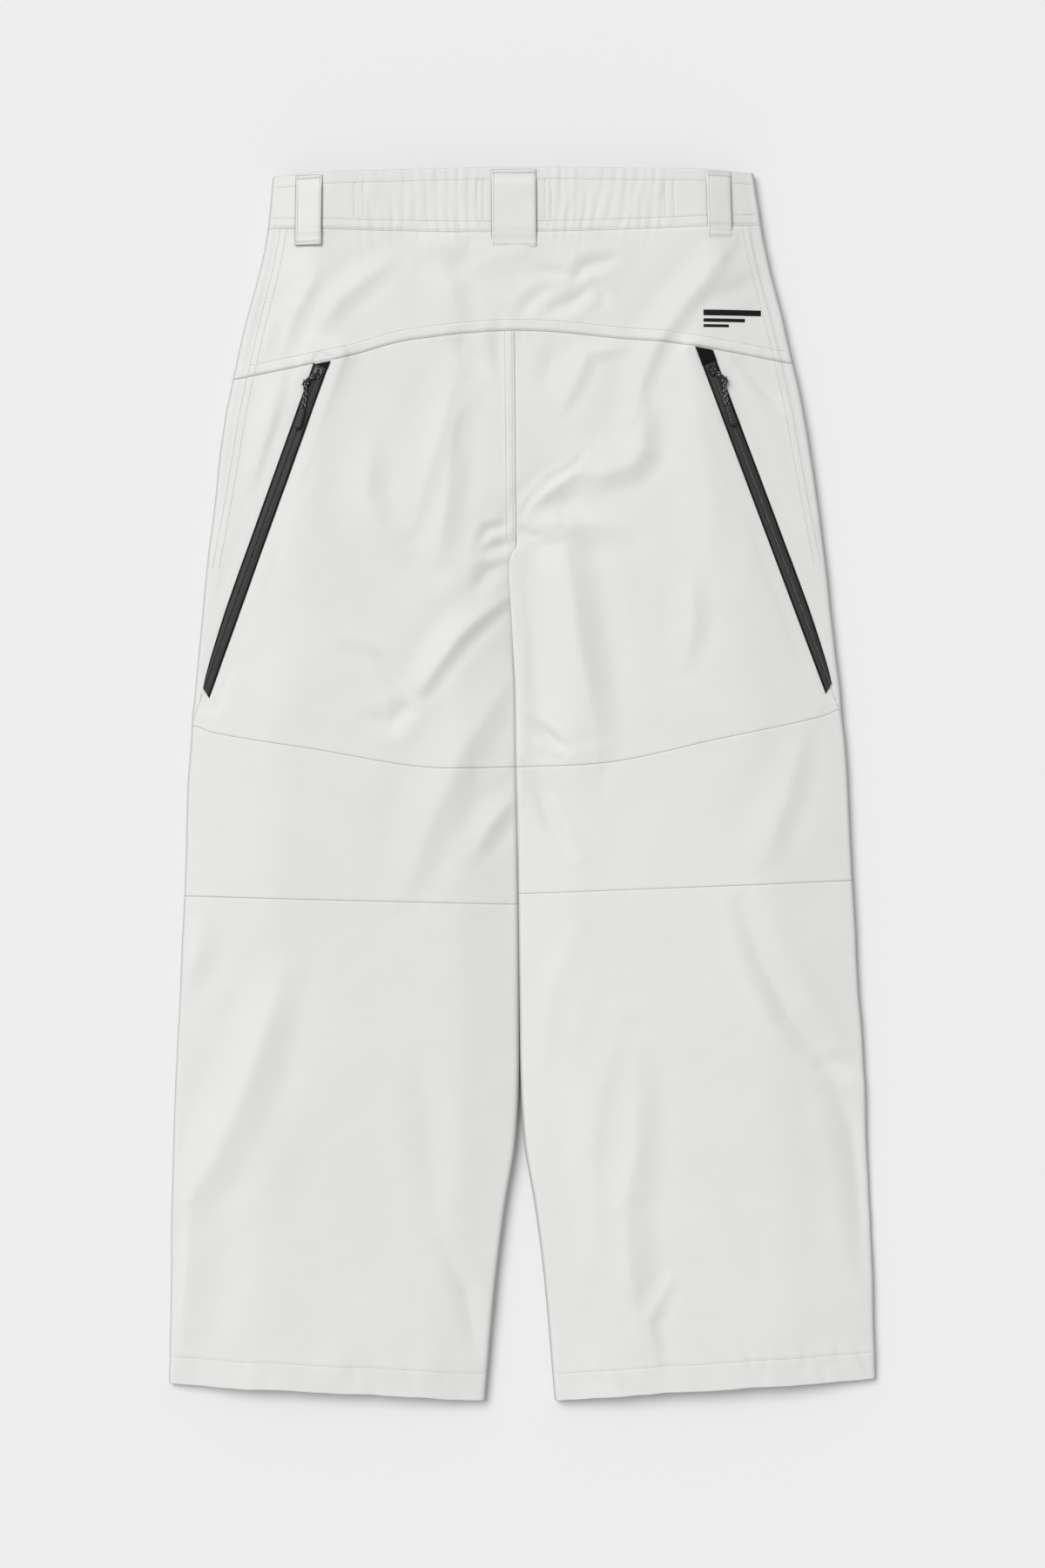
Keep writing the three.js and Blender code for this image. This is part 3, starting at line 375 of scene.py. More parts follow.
def crease_relief(x, y):
    """Height that the creases add. Each side of a route falls away over its own reach."""
    total = np.zeros(np.shape(x))
    for route, height, right, left in CREASES:
        points = np.array(route, float)
        margin = 3 * max(right, left)
        low, high = points.min(0) - margin, points.max(0) + margin
        inside = (x > low[0]) & (x < high[0]) & (y > low[1]) & (y < high[1])
        if not inside.any():
            continue
        px, py = x[inside], y[inside]
        steps = np.linalg.norm(np.diff(points, axis=0), axis=1)
        best, along, right_of = np.full(px.shape, 1e9), np.zeros(px.shape), np.zeros(px.shape)
        done = 0.0
        for start, end, step in zip(points[:-1], points[1:], steps):
            line = (end - start) / step
            t = np.clip((px - start[0]) * line[0] + (py - start[1]) * line[1], 0, step)
            gap_x, gap_y = px - start[0] - t * line[0], py - start[1] - t * line[1]
            gap = np.hypot(gap_x, gap_y)
            nearer = gap < best
            best = np.where(nearer, gap, best)
            along = np.where(nearer, done + t, along)
            right_of = np.where(nearer, gap_x * line[1] - gap_y * line[0], right_of)
            done += step
        taper = 0.12 + 0.88 * np.sin(math.pi * np.clip(along / done, 0.02, 0.98)) ** 0.6
        side_share = smooth(right_of / 3 + 0.5)
        reach = best / (left + (right - left) * side_share) / (0.65 + 0.35 * taper)
        body = np.exp(-1.1 * (reach ** 2 + 0.03) ** 0.72)
        foot = 0.3 * np.exp(-((reach - 1.9) / 0.9) ** 2)
        total[inside] += height * taper * (body - foot)
    return CREASE_STRENGTH * total


def crumple(x, y):
    """Broad shallow puffs that meet in crisp slanting valleys, strongest about the seat."""
    lean_x, lean_y = x * 0.8 + y * 0.45, y * 0.75 - x * 0.35
    wide = np.sqrt(soft_noise(lean_x, lean_y * 0.55, 44, 61) ** 2 + 0.004)
    small = np.sqrt(soft_noise(lean_x + 7, lean_y * 0.6, 21, 62) ** 2 + 0.006)
    seat = 0.45 + 0.55 * smooth((y + 110) / 160)
    return seat * (1.4 * wide + 0.6 * small - 0.6)


def gather_mask(x):
    """Where the waistband is gathered on its elastic."""
    ax = np.abs(x)
    return smooth((ax - ELASTIC_FROM) / 5) * smooth((ELASTIC_TO - ax) / 5)


def gathers(x, y):
    """Puffs between sharp valleys that run down the elasticated band and die out in the yoke."""
    level = y - WAIST_Y + 27
    slant = 0.16 * soft_noise(x, 0 * y, 34, 32) * level + 0.0009 * np.sign(x) * level ** 2
    wander = x + slant + 3.4 * soft_noise(x, 0 * y, 15, 31) + 1.1 * soft_noise(x, y, 12, 33)
    puffs = np.abs(np.sin(math.pi * wander / 9.3)) ** 0.6 - 0.7
    strength = 0.62 + 0.38 * soft_noise(wander, y * 0.3, 16, 34)
    small = 0.35 * soft_noise(wander * 1.6, y * 0.35, 4.2, 8)
    in_band = smooth((y - waist_seam(x)) / 3)
    fade = np.exp(-np.maximum(waist_seam(x) - y, 0) / 18)
    height = 0.85 * in_band + 0.5 * (1 - in_band) * fade
    return gather_mask(x) * height * (puffs * strength + small)


def side_seam_inset(y):
    """How far inside the outline the side seam lies, where the hip has rolled to the back."""
    return SIDE_SEAM_INSET * smooth((y - 130) / 170) - 3 * (1 - smooth((y - 130) / 60))


def waist_top_row(x):
    return waist_top(x) - 9


def waist_low_row(x):
    return waist_seam(x) + 1.6


def waist_high_row(x):
    return waist_seam(x) + 9


def yoke_low_row(x):
    return yoke_seam(x) + 1.6


def yoke_high_row(x):
    return yoke_seam(x) + 9.8


def hem_row(x):
    return hem_edge(x) + HEM_TURNING


STITCH_ROWS = (waist_top_row, waist_low_row, waist_high_row, yoke_low_row, yoke_high_row)
CENTRE_STITCHES = (-2.6, -8.6)
ELASTIC_STITCHES = (ELASTIC_FROM + 0.5, ELASTIC_FROM + 6, ELASTIC_TO - 7.5, ELASTIC_TO)


def seam_relief(x, y):
    """Grooves at the seams and the raised turnings beside them."""
    relief = np.zeros(np.shape(x))
    for seam, turning in ((yoke_seam, 11), (waist_seam, 0), (upper_knee_seam, 0), (lower_knee_seam, 0)):
        above = y - seam(x)
        relief -= (0.4 if turning else 0.28) * np.exp(-(above / 1.1) ** 2)
        if turning:
            relief += 0.45 * smooth(above / 1.5) * smooth((turning - above) / 1.2)
    centre = smooth((y - CROTCH_Y + 4) / 10) * smooth((yoke_seam(x) - y) / 2)
    relief -= centre * 0.35 * np.exp(-(x / 1.1) ** 2)
    relief += centre * 0.4 * smooth(-x / 1.2) * smooth((x + 10.5) / 1.2)
    beside = side_edge(y) - np.abs(x) - side_seam_inset(y)
    seen = smooth((y - 120) / 60) * smooth((waist_seam(x) - y) / 3)
    turned = 0.15 * smooth(beside / 1.5) * smooth((11 - beside) / 2)
    relief += seen * (turned - 0.4 * np.exp(-(beside / 1.4) ** 2))
    for row in STITCH_ROWS:
        relief -= 0.3 * np.exp(-((y - row(x)) / 0.9) ** 2)
    for row in CENTRE_STITCHES:
        relief -= centre * 0.3 * np.exp(-((x - row) / 0.9) ** 2)
    for line in ELASTIC_STITCHES:
        in_band = smooth((y - waist_seam(x) - 9) / 2) * smooth((waist_top(x) - 9 - y) / 2)
        relief -= in_band * 0.5 * np.exp(-((np.abs(x) - line) / 1.1) ** 2)
    return relief


def pucker(x, y):
    """Fine ripples where a sewn line draws the cloth in."""
    total = np.zeros(np.shape(x))
    ripple = soft_noise(x, y * 0.25, 4.2, 21)
    for seam, reach, depth in ((yoke_seam, 9, 0.16), (waist_seam, 10, 0.2), (upper_knee_seam, 6, 0.2),
                               (lower_knee_seam, 6, 0.2)):
        total += depth * ripple * np.exp(-((y - seam(x)) / reach) ** 2)
    hem = y - hem_edge(x) - HEM_TURNING
    turned = smooth((hem + 4) / 6) * np.exp(-np.maximum(hem, 0) / 9) + (1 - smooth((hem + 4) / 6))
    total += turned * (1.05 * np.sqrt(soft_noise(x + 0.4 * hem, hem * 0.5, 9.5, 22) ** 2 + 0.006) - 0.4)
    total -= 0.3 * np.exp(-(hem / 1.2) ** 2)
    total += 0.14 * soft_noise(x * 0.25, y, 4.2, 23) * np.exp(-(x / 9) ** 2) * smooth((y - CROTCH_Y) / 20)
    return total


def base_height(x, y, leg=0):
    """Height of the upper side with the flat bed of the vent zips and no seams or creases."""
    x, y = np.asarray(x, float), np.asarray(y, float)
    height = lie_height(x, y, leg)
    along, out = vent_offsets(x, y)
    plane = VENT_TOP_Z - VENT_FALL * along - VENT_TILT * out
    rolled = smooth((side_edge(y) - np.abs(x)) / EDGE_ROLL)
    return height + vent_nearness(x, y) * rolled * (plane - height)


def surface(x, y, leg=0):
    """Height of the finished cloth's upper side."""
    x, y = np.asarray(x, float), np.asarray(y, float)
    height = base_height(x, y, leg)
    along, out = vent_offsets(x, y)
    near = vent_nearness(x, y)
    relief = crease_relief(x, y)
    relief += 1.3 * soft_noise(x + 31, y, 95, 1) + 0.08 * soft_noise(x, y, 9, 3) + crumple(x, y)
    relief = np.where(relief < 0, relief * (1 - lap_cover(x, y, leg)), relief)
    band = smooth((y - waist_seam(x) + 4) / 8)
    relief *= 1 - 0.75 * band
    inside = smooth((side_edge(y) - np.abs(x)) / 14)
    relief = relief * (0.35 + 0.65 * inside) * (1 - smooth((near - 0.35) / 0.5))
    fine = seam_relief(x, y) + pucker(x, y) + gathers(x, y)
    bed = smooth((near - 0.6) / 0.4) * smooth((9 - np.abs(out)) / 2) * smooth((along + 1) / 2)
    return height + relief + fine * (1 - bed) - 0.4 * bed


def front_bottom(x, y):
    across = clamp01((side_edge(y) - np.abs(x) - FRONT_LIFT_INSET) / FRONT_LIFT_RAMP)
    return FRONT_LIFT * across * clamp01((y - CROTCH_Y - 2) / FRONT_LIFT_RISE)


# ---- Shader helpers ----------------------------------------------------------
def add_node(tree, kind, inputs=None, **settings):
    node = tree.nodes.new(kind)
    for key, value in settings.items():
        setattr(node, key, value)
    for key, value in (inputs or {}).items():
        if isinstance(value, bpy.types.NodeSocket):
            tree.links.new(value, node.inputs[key])
        else:
            node.inputs[key].default_value = value
    return node


def new_group(name, inputs, outputs):
    group = bpy.data.node_groups.new(name, "ShaderNodeTree")
    for label, kind, value in inputs:
        socket = group.interface.new_socket(label, in_out="INPUT", socket_type=kind)
        if value is not None:
            socket.default_value = value
    for label, kind in outputs:
        group.interface.new_socket(label, in_out="OUTPUT", socket_type=kind)
    return group, group.nodes.new("NodeGroupInput"), group.nodes.new("NodeGroupOutput")


FLOAT, VECTOR = "NodeSocketFloat", "NodeSocketVector"


def maths(tree, operation, *values):
    """The result of a Math node on plain numbers or other nodes' outputs."""
    return add_node(tree, "ShaderNodeMath", dict(enumerate(values)), operation=operation).outputs[0]


def make_weave_group():
    """Plain weave: height of the crossing threads and a mask of the gaps between them."""
    group, source, sink = new_group("plain_weave", [("Vector", VECTOR, None), ("Thread", FLOAT, 0.0005)],
                                    [("Height", FLOAT), ("Gaps", FLOAT)])
    per_metre = maths(group, "DIVIDE", math.pi, source.outputs["Thread"])
    scaled = add_node(group, "ShaderNodeVectorMath", {0: source.outputs["Vector"], "Scale": per_metre},
                      operation="SCALE")
    parts = add_node(group, "ShaderNodeSeparateXYZ", {0: scaled.outputs[0]})
    across, along = maths(group, "SINE", parts.outputs[0]), maths(group, "SINE", parts.outputs[1])
    crossing = maths(group, "MULTIPLY", across, along)
    lift = maths(group, "MULTIPLY_ADD", crossing, 0.5, 0.5)
    gaps = maths(group, "SUBTRACT", 1.0, maths(group, "ABSOLUTE", crossing))
    group.links.new(lift, sink.inputs["Height"])
    group.links.new(gaps, sink.inputs["Gaps"])
    return group


def make_mottle_group():
    """Slow drift of tone over a surface, and a finer grain."""
    group, source, sink = new_group(
        "mottle", [("Vector", VECTOR, None), ("Size", FLOAT, 0.05), ("Grain", FLOAT, 0.002)],
        [("Drift", FLOAT), ("Grain", FLOAT)])
    for label, detail, output in (("Size", 3.0, "Drift"), ("Grain", 2.0, "Grain")):
        scale = maths(group, "DIVIDE", 1.0, source.outputs[label])
        noise = add_node(group, "ShaderNodeTexNoise",
                         {"Vector": source.outputs["Vector"], "Scale": scale, "Detail": detail})
        group.links.new(noise.outputs["Fac"], sink.inputs[output])
    return group


WEAVE = make_weave_group()
MOTTLE = make_mottle_group()


def tone_ramp(tree, factor, dark, light):
    ramp = add_node(tree, "ShaderNodeMix", {0: factor}, data_type="RGBA")
    ramp.inputs[6].default_value = (*dark, 1)
    ramp.inputs[7].default_value = (*light, 1)
    return ramp.outputs[2]


def tone_drift(tree, factor, colour, contrast):
    """A colour that drifts darker and lighter by the contrast."""
    dark, light = (tuple(channel * share for channel in colour) for share in (1 - contrast, 1 + contrast))
    return tone_ramp(tree, factor, dark, light)


def darkened(tree, share, colour, tint):
    """A colour multiplied by a grey tint, as far as the share says."""
    mix = add_node(tree, "ShaderNodeMix", {0: share, 6: colour}, data_type="RGBA", blend_type="MULTIPLY")
    mix.inputs[7].default_value = (tint, tint, tint, 1)
    return mix.outputs[2]


def raised(tree, shader, height, strength, distance):
    """Turns a height into small relief on a surface."""
    bump = add_node(tree, "ShaderNodeBump", {"Height": height, "Strength": strength, "Distance": distance})
    tree.links.new(bump.outputs[0], shader.inputs["Normal"])


def new_material(name):
    """A new material with its node tree, its shader and its coordinates."""
    material = bpy.data.materials.new(name)
    material.use_nodes = True
    tree = material.node_tree
    return material, tree, tree.nodes["Principled BSDF"], add_node(tree, "ShaderNodeTexCoord").outputs


def cloth_material(name, colour, thread, contrast=0.03, bump=0.25, roughness=0.8, uv=True):
    """Woven cloth: threads with painted shade in the gaps between them, a slow drift of tone, grain, and
    painted shade where the surface turns away from the camera.
    """
    material, tree, shader, place = new_material(name)
    weave = add_node(tree, "ShaderNodeGroup", node_tree=WEAVE)
    tree.links.new(place["UV"] if uv else place["Object"], weave.inputs["Vector"])
    weave.inputs["Thread"].default_value = thread
    mottle = add_node(tree, "ShaderNodeGroup", {"Vector": place["Object"], "Size": 0.07, "Grain": 0.0016},
                      node_tree=MOTTLE)
    drift = tone_drift(tree, mottle.outputs["Drift"], colour, contrast)
    # Painted shade: the colour is darkened in the gaps between the threads.
    gap_shaded_tone = darkened(tree, weave.outputs["Gaps"], drift, 0.94)
    # Painted shade: the colour darkens by up to 45 % where the surface turns away from the camera, as on the
    # rolled edges.
    turned = add_node(tree, "ShaderNodeLayerWeight", {"Blend": 0.5})
    painted_rim_shade = add_node(tree, "ShaderNodeMapRange",
                    {0: turned.outputs["Facing"], 1: 0.12, 2: 0.85, 3: 0.0, 4: 0.45})
    tree.links.new(darkened(tree, painted_rim_shade.outputs[0], gap_shaded_tone, 0), shader.inputs["Base Color"])
    rough = maths(tree, "MULTIPLY_ADD", mottle.outputs["Grain"], 0.16, roughness - 0.08)
    tree.links.new(rough, shader.inputs["Roughness"])
    height = maths(tree, "MULTIPLY_ADD", mottle.outputs["Grain"], 0.8, weave.outputs["Height"])
    raised(tree, shader, height, bump, thread * 0.35)
    shader.inputs["Specular IOR Level"].default_value = 0.25
    return material


def moulded_material(name, colour, bump=0.3, roughness=0.5, metallic=0.0, contrast=0.2, gloss=0.5):
    """Moulded, coated or plated surface with fine grain and uneven gloss."""
    material, tree, shader, place = new_material(name)
    mottle = add_node(tree, "ShaderNodeGroup",
                      {"Vector": place["Object"], "Size": 0.006, "Grain": FINE_GRAIN}, node_tree=MOTTLE)
    tone = tone_drift(tree, mottle.outputs["Drift"], colour, contrast)
    tree.links.new(tone, shader.inputs["Base Color"])
    rough = maths(tree, "MULTIPLY_ADD", mottle.outputs["Drift"], 0.2, roughness - 0.1)
    tree.links.new(rough, shader.inputs["Roughness"])
    raised(tree, shader, mottle.outputs["Grain"], bump, FINE_GRAIN * 0.3)
    shader.inputs["Metallic"].default_value = metallic
    shader.inputs["Specular IOR Level"].default_value = gloss
    return material


def cord_material(name):
    """Black braid with white flecks painted in as glints (painted highlights), laid out on the cord's own
    length and turn.
    """
    material, tree, shader, place = new_material(name)
    parts = add_node(tree, "ShaderNodeSeparateXYZ", {0: place["UV"]})
    turn = maths(tree, "MULTIPLY", parts.outputs[1], 2 * math.pi * 4)
    length = maths(tree, "MULTIPLY", parts.outputs[0], 2 * math.pi / PLAIT_PITCH)
    strands = [maths(tree, "SINE", maths(tree, "MULTIPLY_ADD", length, sign, turn)) for sign in (1, -1)]
    plait = maths(tree, "MAXIMUM", *strands)
    # Painted highlights: spaced white flecks in the colour stand in for glints on the braid.
    slow = maths(tree, "MULTIPLY", parts.outputs[0], 2 * math.pi / GLINT_PITCH)
    glint_wave = maths(tree, "SINE", maths(tree, "MULTIPLY_ADD", parts.outputs[1], 2 * math.pi, slow))
    mask = maths(tree, "GREATER_THAN", maths(tree, "MULTIPLY", glint_wave, strands[0]), 0.74)
    tone = tone_ramp(tree, mask, (0.006, 0.006, 0.007), (0.9, 0.9, 0.92))
    tree.links.new(tone, shader.inputs["Base Color"])
    raised(tree, shader, plait, 0.8, 0.0002)
    shader.inputs["Roughness"].default_value = 0.7
    return material


FINE_GRAIN = 0.0006
PLAIT_PITCH = 0.0022
GLINT_PITCH = 0.0046
SHELL = (0.755, 0.755, 0.742)
LINING = (0.60, 0.61, 0.63)
MATERIALS = {
    "shell": cloth_material("shell_cloth", SHELL, 0.00055),
    "lining": cloth_material("lining_cloth", LINING, 0.0004, roughness=0.6),
    "elastic": cloth_material("elastic_web", (0.66, 0.66, 0.65), 0.0012, bump=0.6),
    "thread": cloth_material("sewing_thread", (0.74, 0.74, 0.73), 0.0003, uv=False),
    "tape": moulded_material("coated_zip_tape", (0.032, 0.032, 0.031), roughness=0.55, contrast=0.3,
                             gloss=0.25),
    "border": moulded_material("bonded_black_film", (0.004, 0.004, 0.004), roughness=0.75, gloss=0.15),
    "coil": moulded_material("nylon_coil", (0.012, 0.012, 0.012), roughness=0.4),
    "metal": moulded_material("gunmetal", (0.05, 0.05, 0.053), roughness=0.36, metallic=0.9),
    "grip": moulded_material("soft_moulding", (0.020, 0.020, 0.023), roughness=0.55, bump=0.5),
    "print": moulded_material("transfer_print", (0.006, 0.006, 0.006), roughness=0.7, gloss=0.2),
    "cord": cord_material("braid_with_painted_glints"),
}


# ---- Mesh helpers ------------------------------------------------------------
def mesh_object(name, vertices, faces, materials, uvs=None, smooth_faces=True):
    mesh = bpy.data.meshes.new(name)
    mesh.from_pydata([tuple(v) for v in vertices], [], [tuple(f) for f in faces])
    for material in materials:
        mesh.materials.append(MATERIALS[material])
    if uvs is not None:
        layer = mesh.uv_layers.new(name="cloth")
        loops = np.empty(len(mesh.loops), int)
        mesh.loops.foreach_get("vertex_index", loops)
        layer.data.foreach_set("uv", np.asarray(uvs, np.float32)[loops].ravel())
    mesh.polygons.foreach_set("use_smooth", [smooth_faces] * len(mesh.polygons))
    mesh.update()
    obj = bpy.data.objects.new(name, mesh)
    bpy.context.scene.collection.objects.link(obj)
    return obj


def grid_object(name, xs, ys, zs, materials):
    """A sheet over a grid of points in millimetres, its first side up, with a UV laid along the cloth."""
    rows, cols = xs.shape
    points = np.stack([xs, ys, zs], -1) * MM
    run = np.linalg.norm(np.diff(points, axis=1), axis=2)
    u = np.concatenate([np.zeros((rows, 1)), np.cumsum(run, 1)], 1)
    u -= u[:, cols // 2][:, None]
    rise = np.linalg.norm(np.diff(points[:, cols // 2], axis=0), axis=1)
    v = np.concatenate([[0], np.cumsum(rise)])[:, None] + np.zeros((1, cols))
    index = np.arange(rows * cols).reshape(rows, cols)
    faces = np.stack([index[:-1, :-1], index[:-1, 1:], index[1:, 1:], index[1:, :-1]], -1).reshape(-1, 4)
    uvs = np.stack([u, v], -1).reshape(-1, 2)
    return mesh_object(name, points.reshape(-1, 3), faces.tolist(), materials, uvs)


def flipped(flip, *grids):
    """Grids with their columns in reverse order where flip is true, which turns a sheet's faces over."""
    return [grid[:, ::-1] if flip else grid for grid in grids]


def thicken(obj, thickness, inner_material=None):
    """Gives a sheet its thickness below its upper side, and makes the result a plain mesh."""
    wall = obj.modifiers.new("wall", "SOLIDIFY")
    wall.thickness = thickness * MM
    wall.offset = -1
    if inner_material:
        wall.material_offset = 1
    return baked(obj)


def baked(obj):
    depsgraph = bpy.context.evaluated_depsgraph_get()
    result = bpy.data.meshes.new_from_object(obj.evaluated_get(depsgraph))
    obj.modifiers.clear()
    old = obj.data
    obj.data = result
    bpy.data.meshes.remove(old)
    return obj


def seam_rows(length, step, fine=0.9, reach=13, low_reach=13):
    """Shares of a panel's length: close together beside its seams, wider between."""
    low, high = np.arange(0, low_reach, fine), np.arange(0, reach, fine)
    middle = np.linspace(low_reach, length - reach, max(2, int((length - low_reach - reach) / step)))
    stations = np.concatenate([low, middle, length - high[::-1]])
    return np.clip(stations / length, 0, 1)


ROLL = 5.0
CLOTH_STEP = 2.5
FLOOR_CLEAR = 0.4
FOLD_DEPTH = 10
EDGE_ROUNDS = 8                  # a panel's ends and sides slant, so its grid is settled in rounds


def wrap_columns(edge, top_x, top_z, inward, amount, low, tuck_low):
    """Columns that carry a sheet round a folded edge and under it."""
    columns = []
    for k in range(1, 9):
        turn = math.pi * k / 8
        folded_x = edge + inward * ROLL * (1 - math.sin(turn))
        folded_z = low + (top_z - low) * (1 + math.cos(turn)) / 2
        seam_z = top_z - 2.4 * k / 8
        columns.append((top_x + (folded_x - top_x) * amount, seam_z + (folded_z - seam_z) * amount))
    for reach, share in ((4, 0.5), (8, 1)):
        folded_x = edge + inward * (ROLL + reach)
        folded_z = low + (tuck_low - low) * share
        columns.append((top_x + (folded_x - top_x) * amount, top_z - 2.6 + (folded_z - top_z + 2.6) * amount))
    return columns


def edge_wobble(y, seed):
    return 0.7 * soft_noise(y, y * 0, 38, seed) + 0.3 * soft_noise(y, y * 0, 13, seed + 1)


def inner_shares(cols, width, fine=0.9, reach=13):
    """Shares across a panel, close together beside its inner edge."""
    near = np.arange(0, reach, fine) / width
    return np.concatenate([near, np.linspace(reach / width, 1, cols - len(near))])


def inward(xs, zs):
    """Direction into the garment from each point of a row of cross sections."""
    dx, dz = np.gradient(xs, axis=1), np.gradient(zs, axis=1)
    size = np.hypot(dx, dz) + 1e-9
    return dz / size, -dx / size


def turned_edge(xs, ys, zs, radius, way, depth):
    """Adds rows that fold a sheet's last row over to its inside. way is 1 at the top and -1 at the bottom."""
    row = -1 if way > 0 else 0
    in_x, in_z = inward(xs, zs)
    in_x, in_z, end_y = in_x[row], in_z[row], ys[row]
    extra = []
    for k in range(1, 7):
        turn = math.pi * k / 6
        reach = radius * (1 - math.cos(turn))
        extra.append((xs[row] + in_x * reach, end_y + way * radius * math.sin(turn), zs[row] + in_z * reach))
    last = 2 * radius + 0.3
    extra.append((xs[row] + in_x * last, end_y - way * depth, zs[row] + in_z * last))
    if way < 0:
        extra = extra[::-1]
    added = [np.stack(part) for part in zip(*extra)]
    pairs = [(old, new) if way > 0 else (new, old) for old, new in zip((xs, ys, zs), added)]
    return [np.concatenate(pair) for pair in pairs]


def panel(name, leg, lower, upper, cols, length, step=CLOTH_STEP, fold=0, fold_radius=1.2, low_reach=13):
    """One panel of the back, from seam to seam. leg is 1, -1, or 0 for a panel across both."""
    rows = seam_rows(length, step, low_reach=low_reach)[:, None]
    u = (np.linspace(0, 1, cols) if leg == 0 else inner_shares(cols, 265))[None, :]

    def edges(y):
        side = side_edge(y) + edge_wobble(y, 61 if leg >= 0 else 71)
        other = side_edge(y) + edge_wobble(y, 71)
        inner = inner_edge(1 if leg > 0 else -1, y)
        folded = smooth((CROTCH_Y + (12 if leg > 0 else -6) - y) / 24)
        return side, other, inner, folded

    x = np.zeros((len(rows), cols)) + 100
    y = lower(x) + (upper(x) - lower(x)) * rows
    for _ in range(EDGE_ROUNDS):
        side, other, inner, folded = edges(y)
        if leg == 0:
            low_x, high_x = -(other - ROLL), side - ROLL
        else:
            low_x, high_x = inner + 0.02 + (ROLL - 0.02) * folded, side - ROLL
        x = low_x + (high_x - low_x) * u
        signed = x if leg >= 0 else -x
        y = lower(signed) + (upper(signed) - lower(signed)) * rows
    z = surface(signed, y, leg)
    side, other, inner, folded = edges(y)
    floor = np.full(len(rows), FLOOR_CLEAR)
    outer = wrap_columns(side[:, -1], x[:, -1], z[:, -1], -1, 1.0, floor, floor)
    if leg == 0:
        first = wrap_columns(-other[:, 0], x[:, 0], z[:, 0], 1, 1.0, floor, floor)
    else:
        over = lap_share(y[:, 0]) * (1 if leg > 0 else 0)
        seat = under_lap(y[:, 0], np.maximum(lap(y[:, 0]) - 2 * INSEAM_HALF_GAP, 0))
        low = FLOOR_CLEAR + (seat + 0.5 - FLOOR_CLEAR) * over
        first = wrap_columns(inner[:, 0], x[:, 0], z[:, 0], 1, folded[:, 0], low, floor)
    xs = np.stack([c[0] for c in first[::-1]] + list(x.T) + [c[0] for c in outer], 1)
    zs = np.stack([c[1] for c in first[::-1]] + list(z.T) + [c[1] for c in outer], 1)
    ys = np.concatenate([np.repeat(y[:, :1], len(first), 1), y, np.repeat(y[:, -1:], len(outer), 1)], 1)
    if fold:
        xs, ys, zs = turned_edge(xs, ys, zs, fold_radius, fold, FOLD_DEPTH)
    xs, ys, zs = flipped(leg < 0, xs if leg >= 0 else -xs, ys, zs)
    return thicken(grid_object(name, xs, ys, zs, ("shell", "lining")), 1.0, True)


def own(obj, body, node, slot_name):
    """Carries a piece on its body, in place of its frame node. slot_name is not used."""
    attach(obj, body)
    if node:
        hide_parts(node)


# Heights of the snow gaiter's lower and upper edges above the hem.
GAITER_LOW = 26
GAITER_HIGH = 156


SIDES = (("left", -1), ("right", 1))


def own_across_knee(obj, node):
    """Cloth at the lower knee seam, in place of its frame node, with its placement baked into its mesh."""
    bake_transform(obj)
    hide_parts(node)


def split_along_vent(obj, side, keep_outer):
    """Keeps the part of a thigh panel on one side of the vent zip's centre line."""
    work = bmesh.new()
    work.from_mesh(obj.data)
    point = Vector((side * VENT_TOP[0] * MM, VENT_TOP[1] * MM, 0))
    normal = Vector((side * VENT_OUT[0], VENT_OUT[1], 0))
    bmesh.ops.bisect_plane(work, geom=work.verts[:] + work.edges[:] + work.faces[:], plane_co=point,
                           plane_no=normal, clear_outer=not keep_outer, clear_inner=keep_outer)
    edges = [e for e in work.edges if e.is_boundary]
    bmesh.ops.holes_fill(work, edges=edges, sides=0)
    work.to_mesh(obj.data)
    work.free()
    obj.data.update()


def make_back():
    yoke = panel("back_yoke_cloth", 0, yoke_seam, waist_seam, 300, 92)
    own(yoke, "garment", "back_yoke", "shell_fabric")
    for name, side in SIDES:
        thigh = panel(f"{name}_back_thigh_cloth", side, upper_knee_seam, yoke_seam, 125, 345)
        outer = thigh.copy()
        outer.data = thigh.data.copy()
        outer.name = f"{name}_side_cloth"
        bpy.context.scene.collection.objects.link(outer)
        split_along_vent(thigh, side, False)
        split_along_vent(outer, side, True)
        own(thigh, "garment", f"{name}_back_thigh_panel", "shell_fabric")
        own(outer, "garment", f"{name}_side_panel", "shell_fabric")
        knee = panel(f"{name}_knee_back_cloth", side, lower_knee_seam, upper_knee_seam, 125, 118)
        lower = panel(f"{name}_lower_back_cloth", side, hem_edge, lower_knee_seam, 125, 428, fold=-1,
                      fold_radius=0.9, low_reach=27)
        own_across_knee(knee, f"{name}_knee_back_panel")
        own_across_knee(lower, f"{name}_lower_back_panel")


# ---- Waistband, front and insides --------------------------------------------
def plain_grid(name, low_x, high_x, low_y, high_y, height, materials, thickness, step=2.5):
    """A sheet between two heights of the waistband, facing up."""
    cols, rows = int((high_x - low_x) / step) + 2, int(50 / step)
    x = np.linspace(low_x, high_x, cols)[None, :] + np.zeros((rows, 1))
    y = low_y(x) + (high_y(x) - low_y(x)) * np.linspace(0, 1, rows)[:, None]
    return thicken(grid_object(name, x, y, height(x, y), materials), thickness)


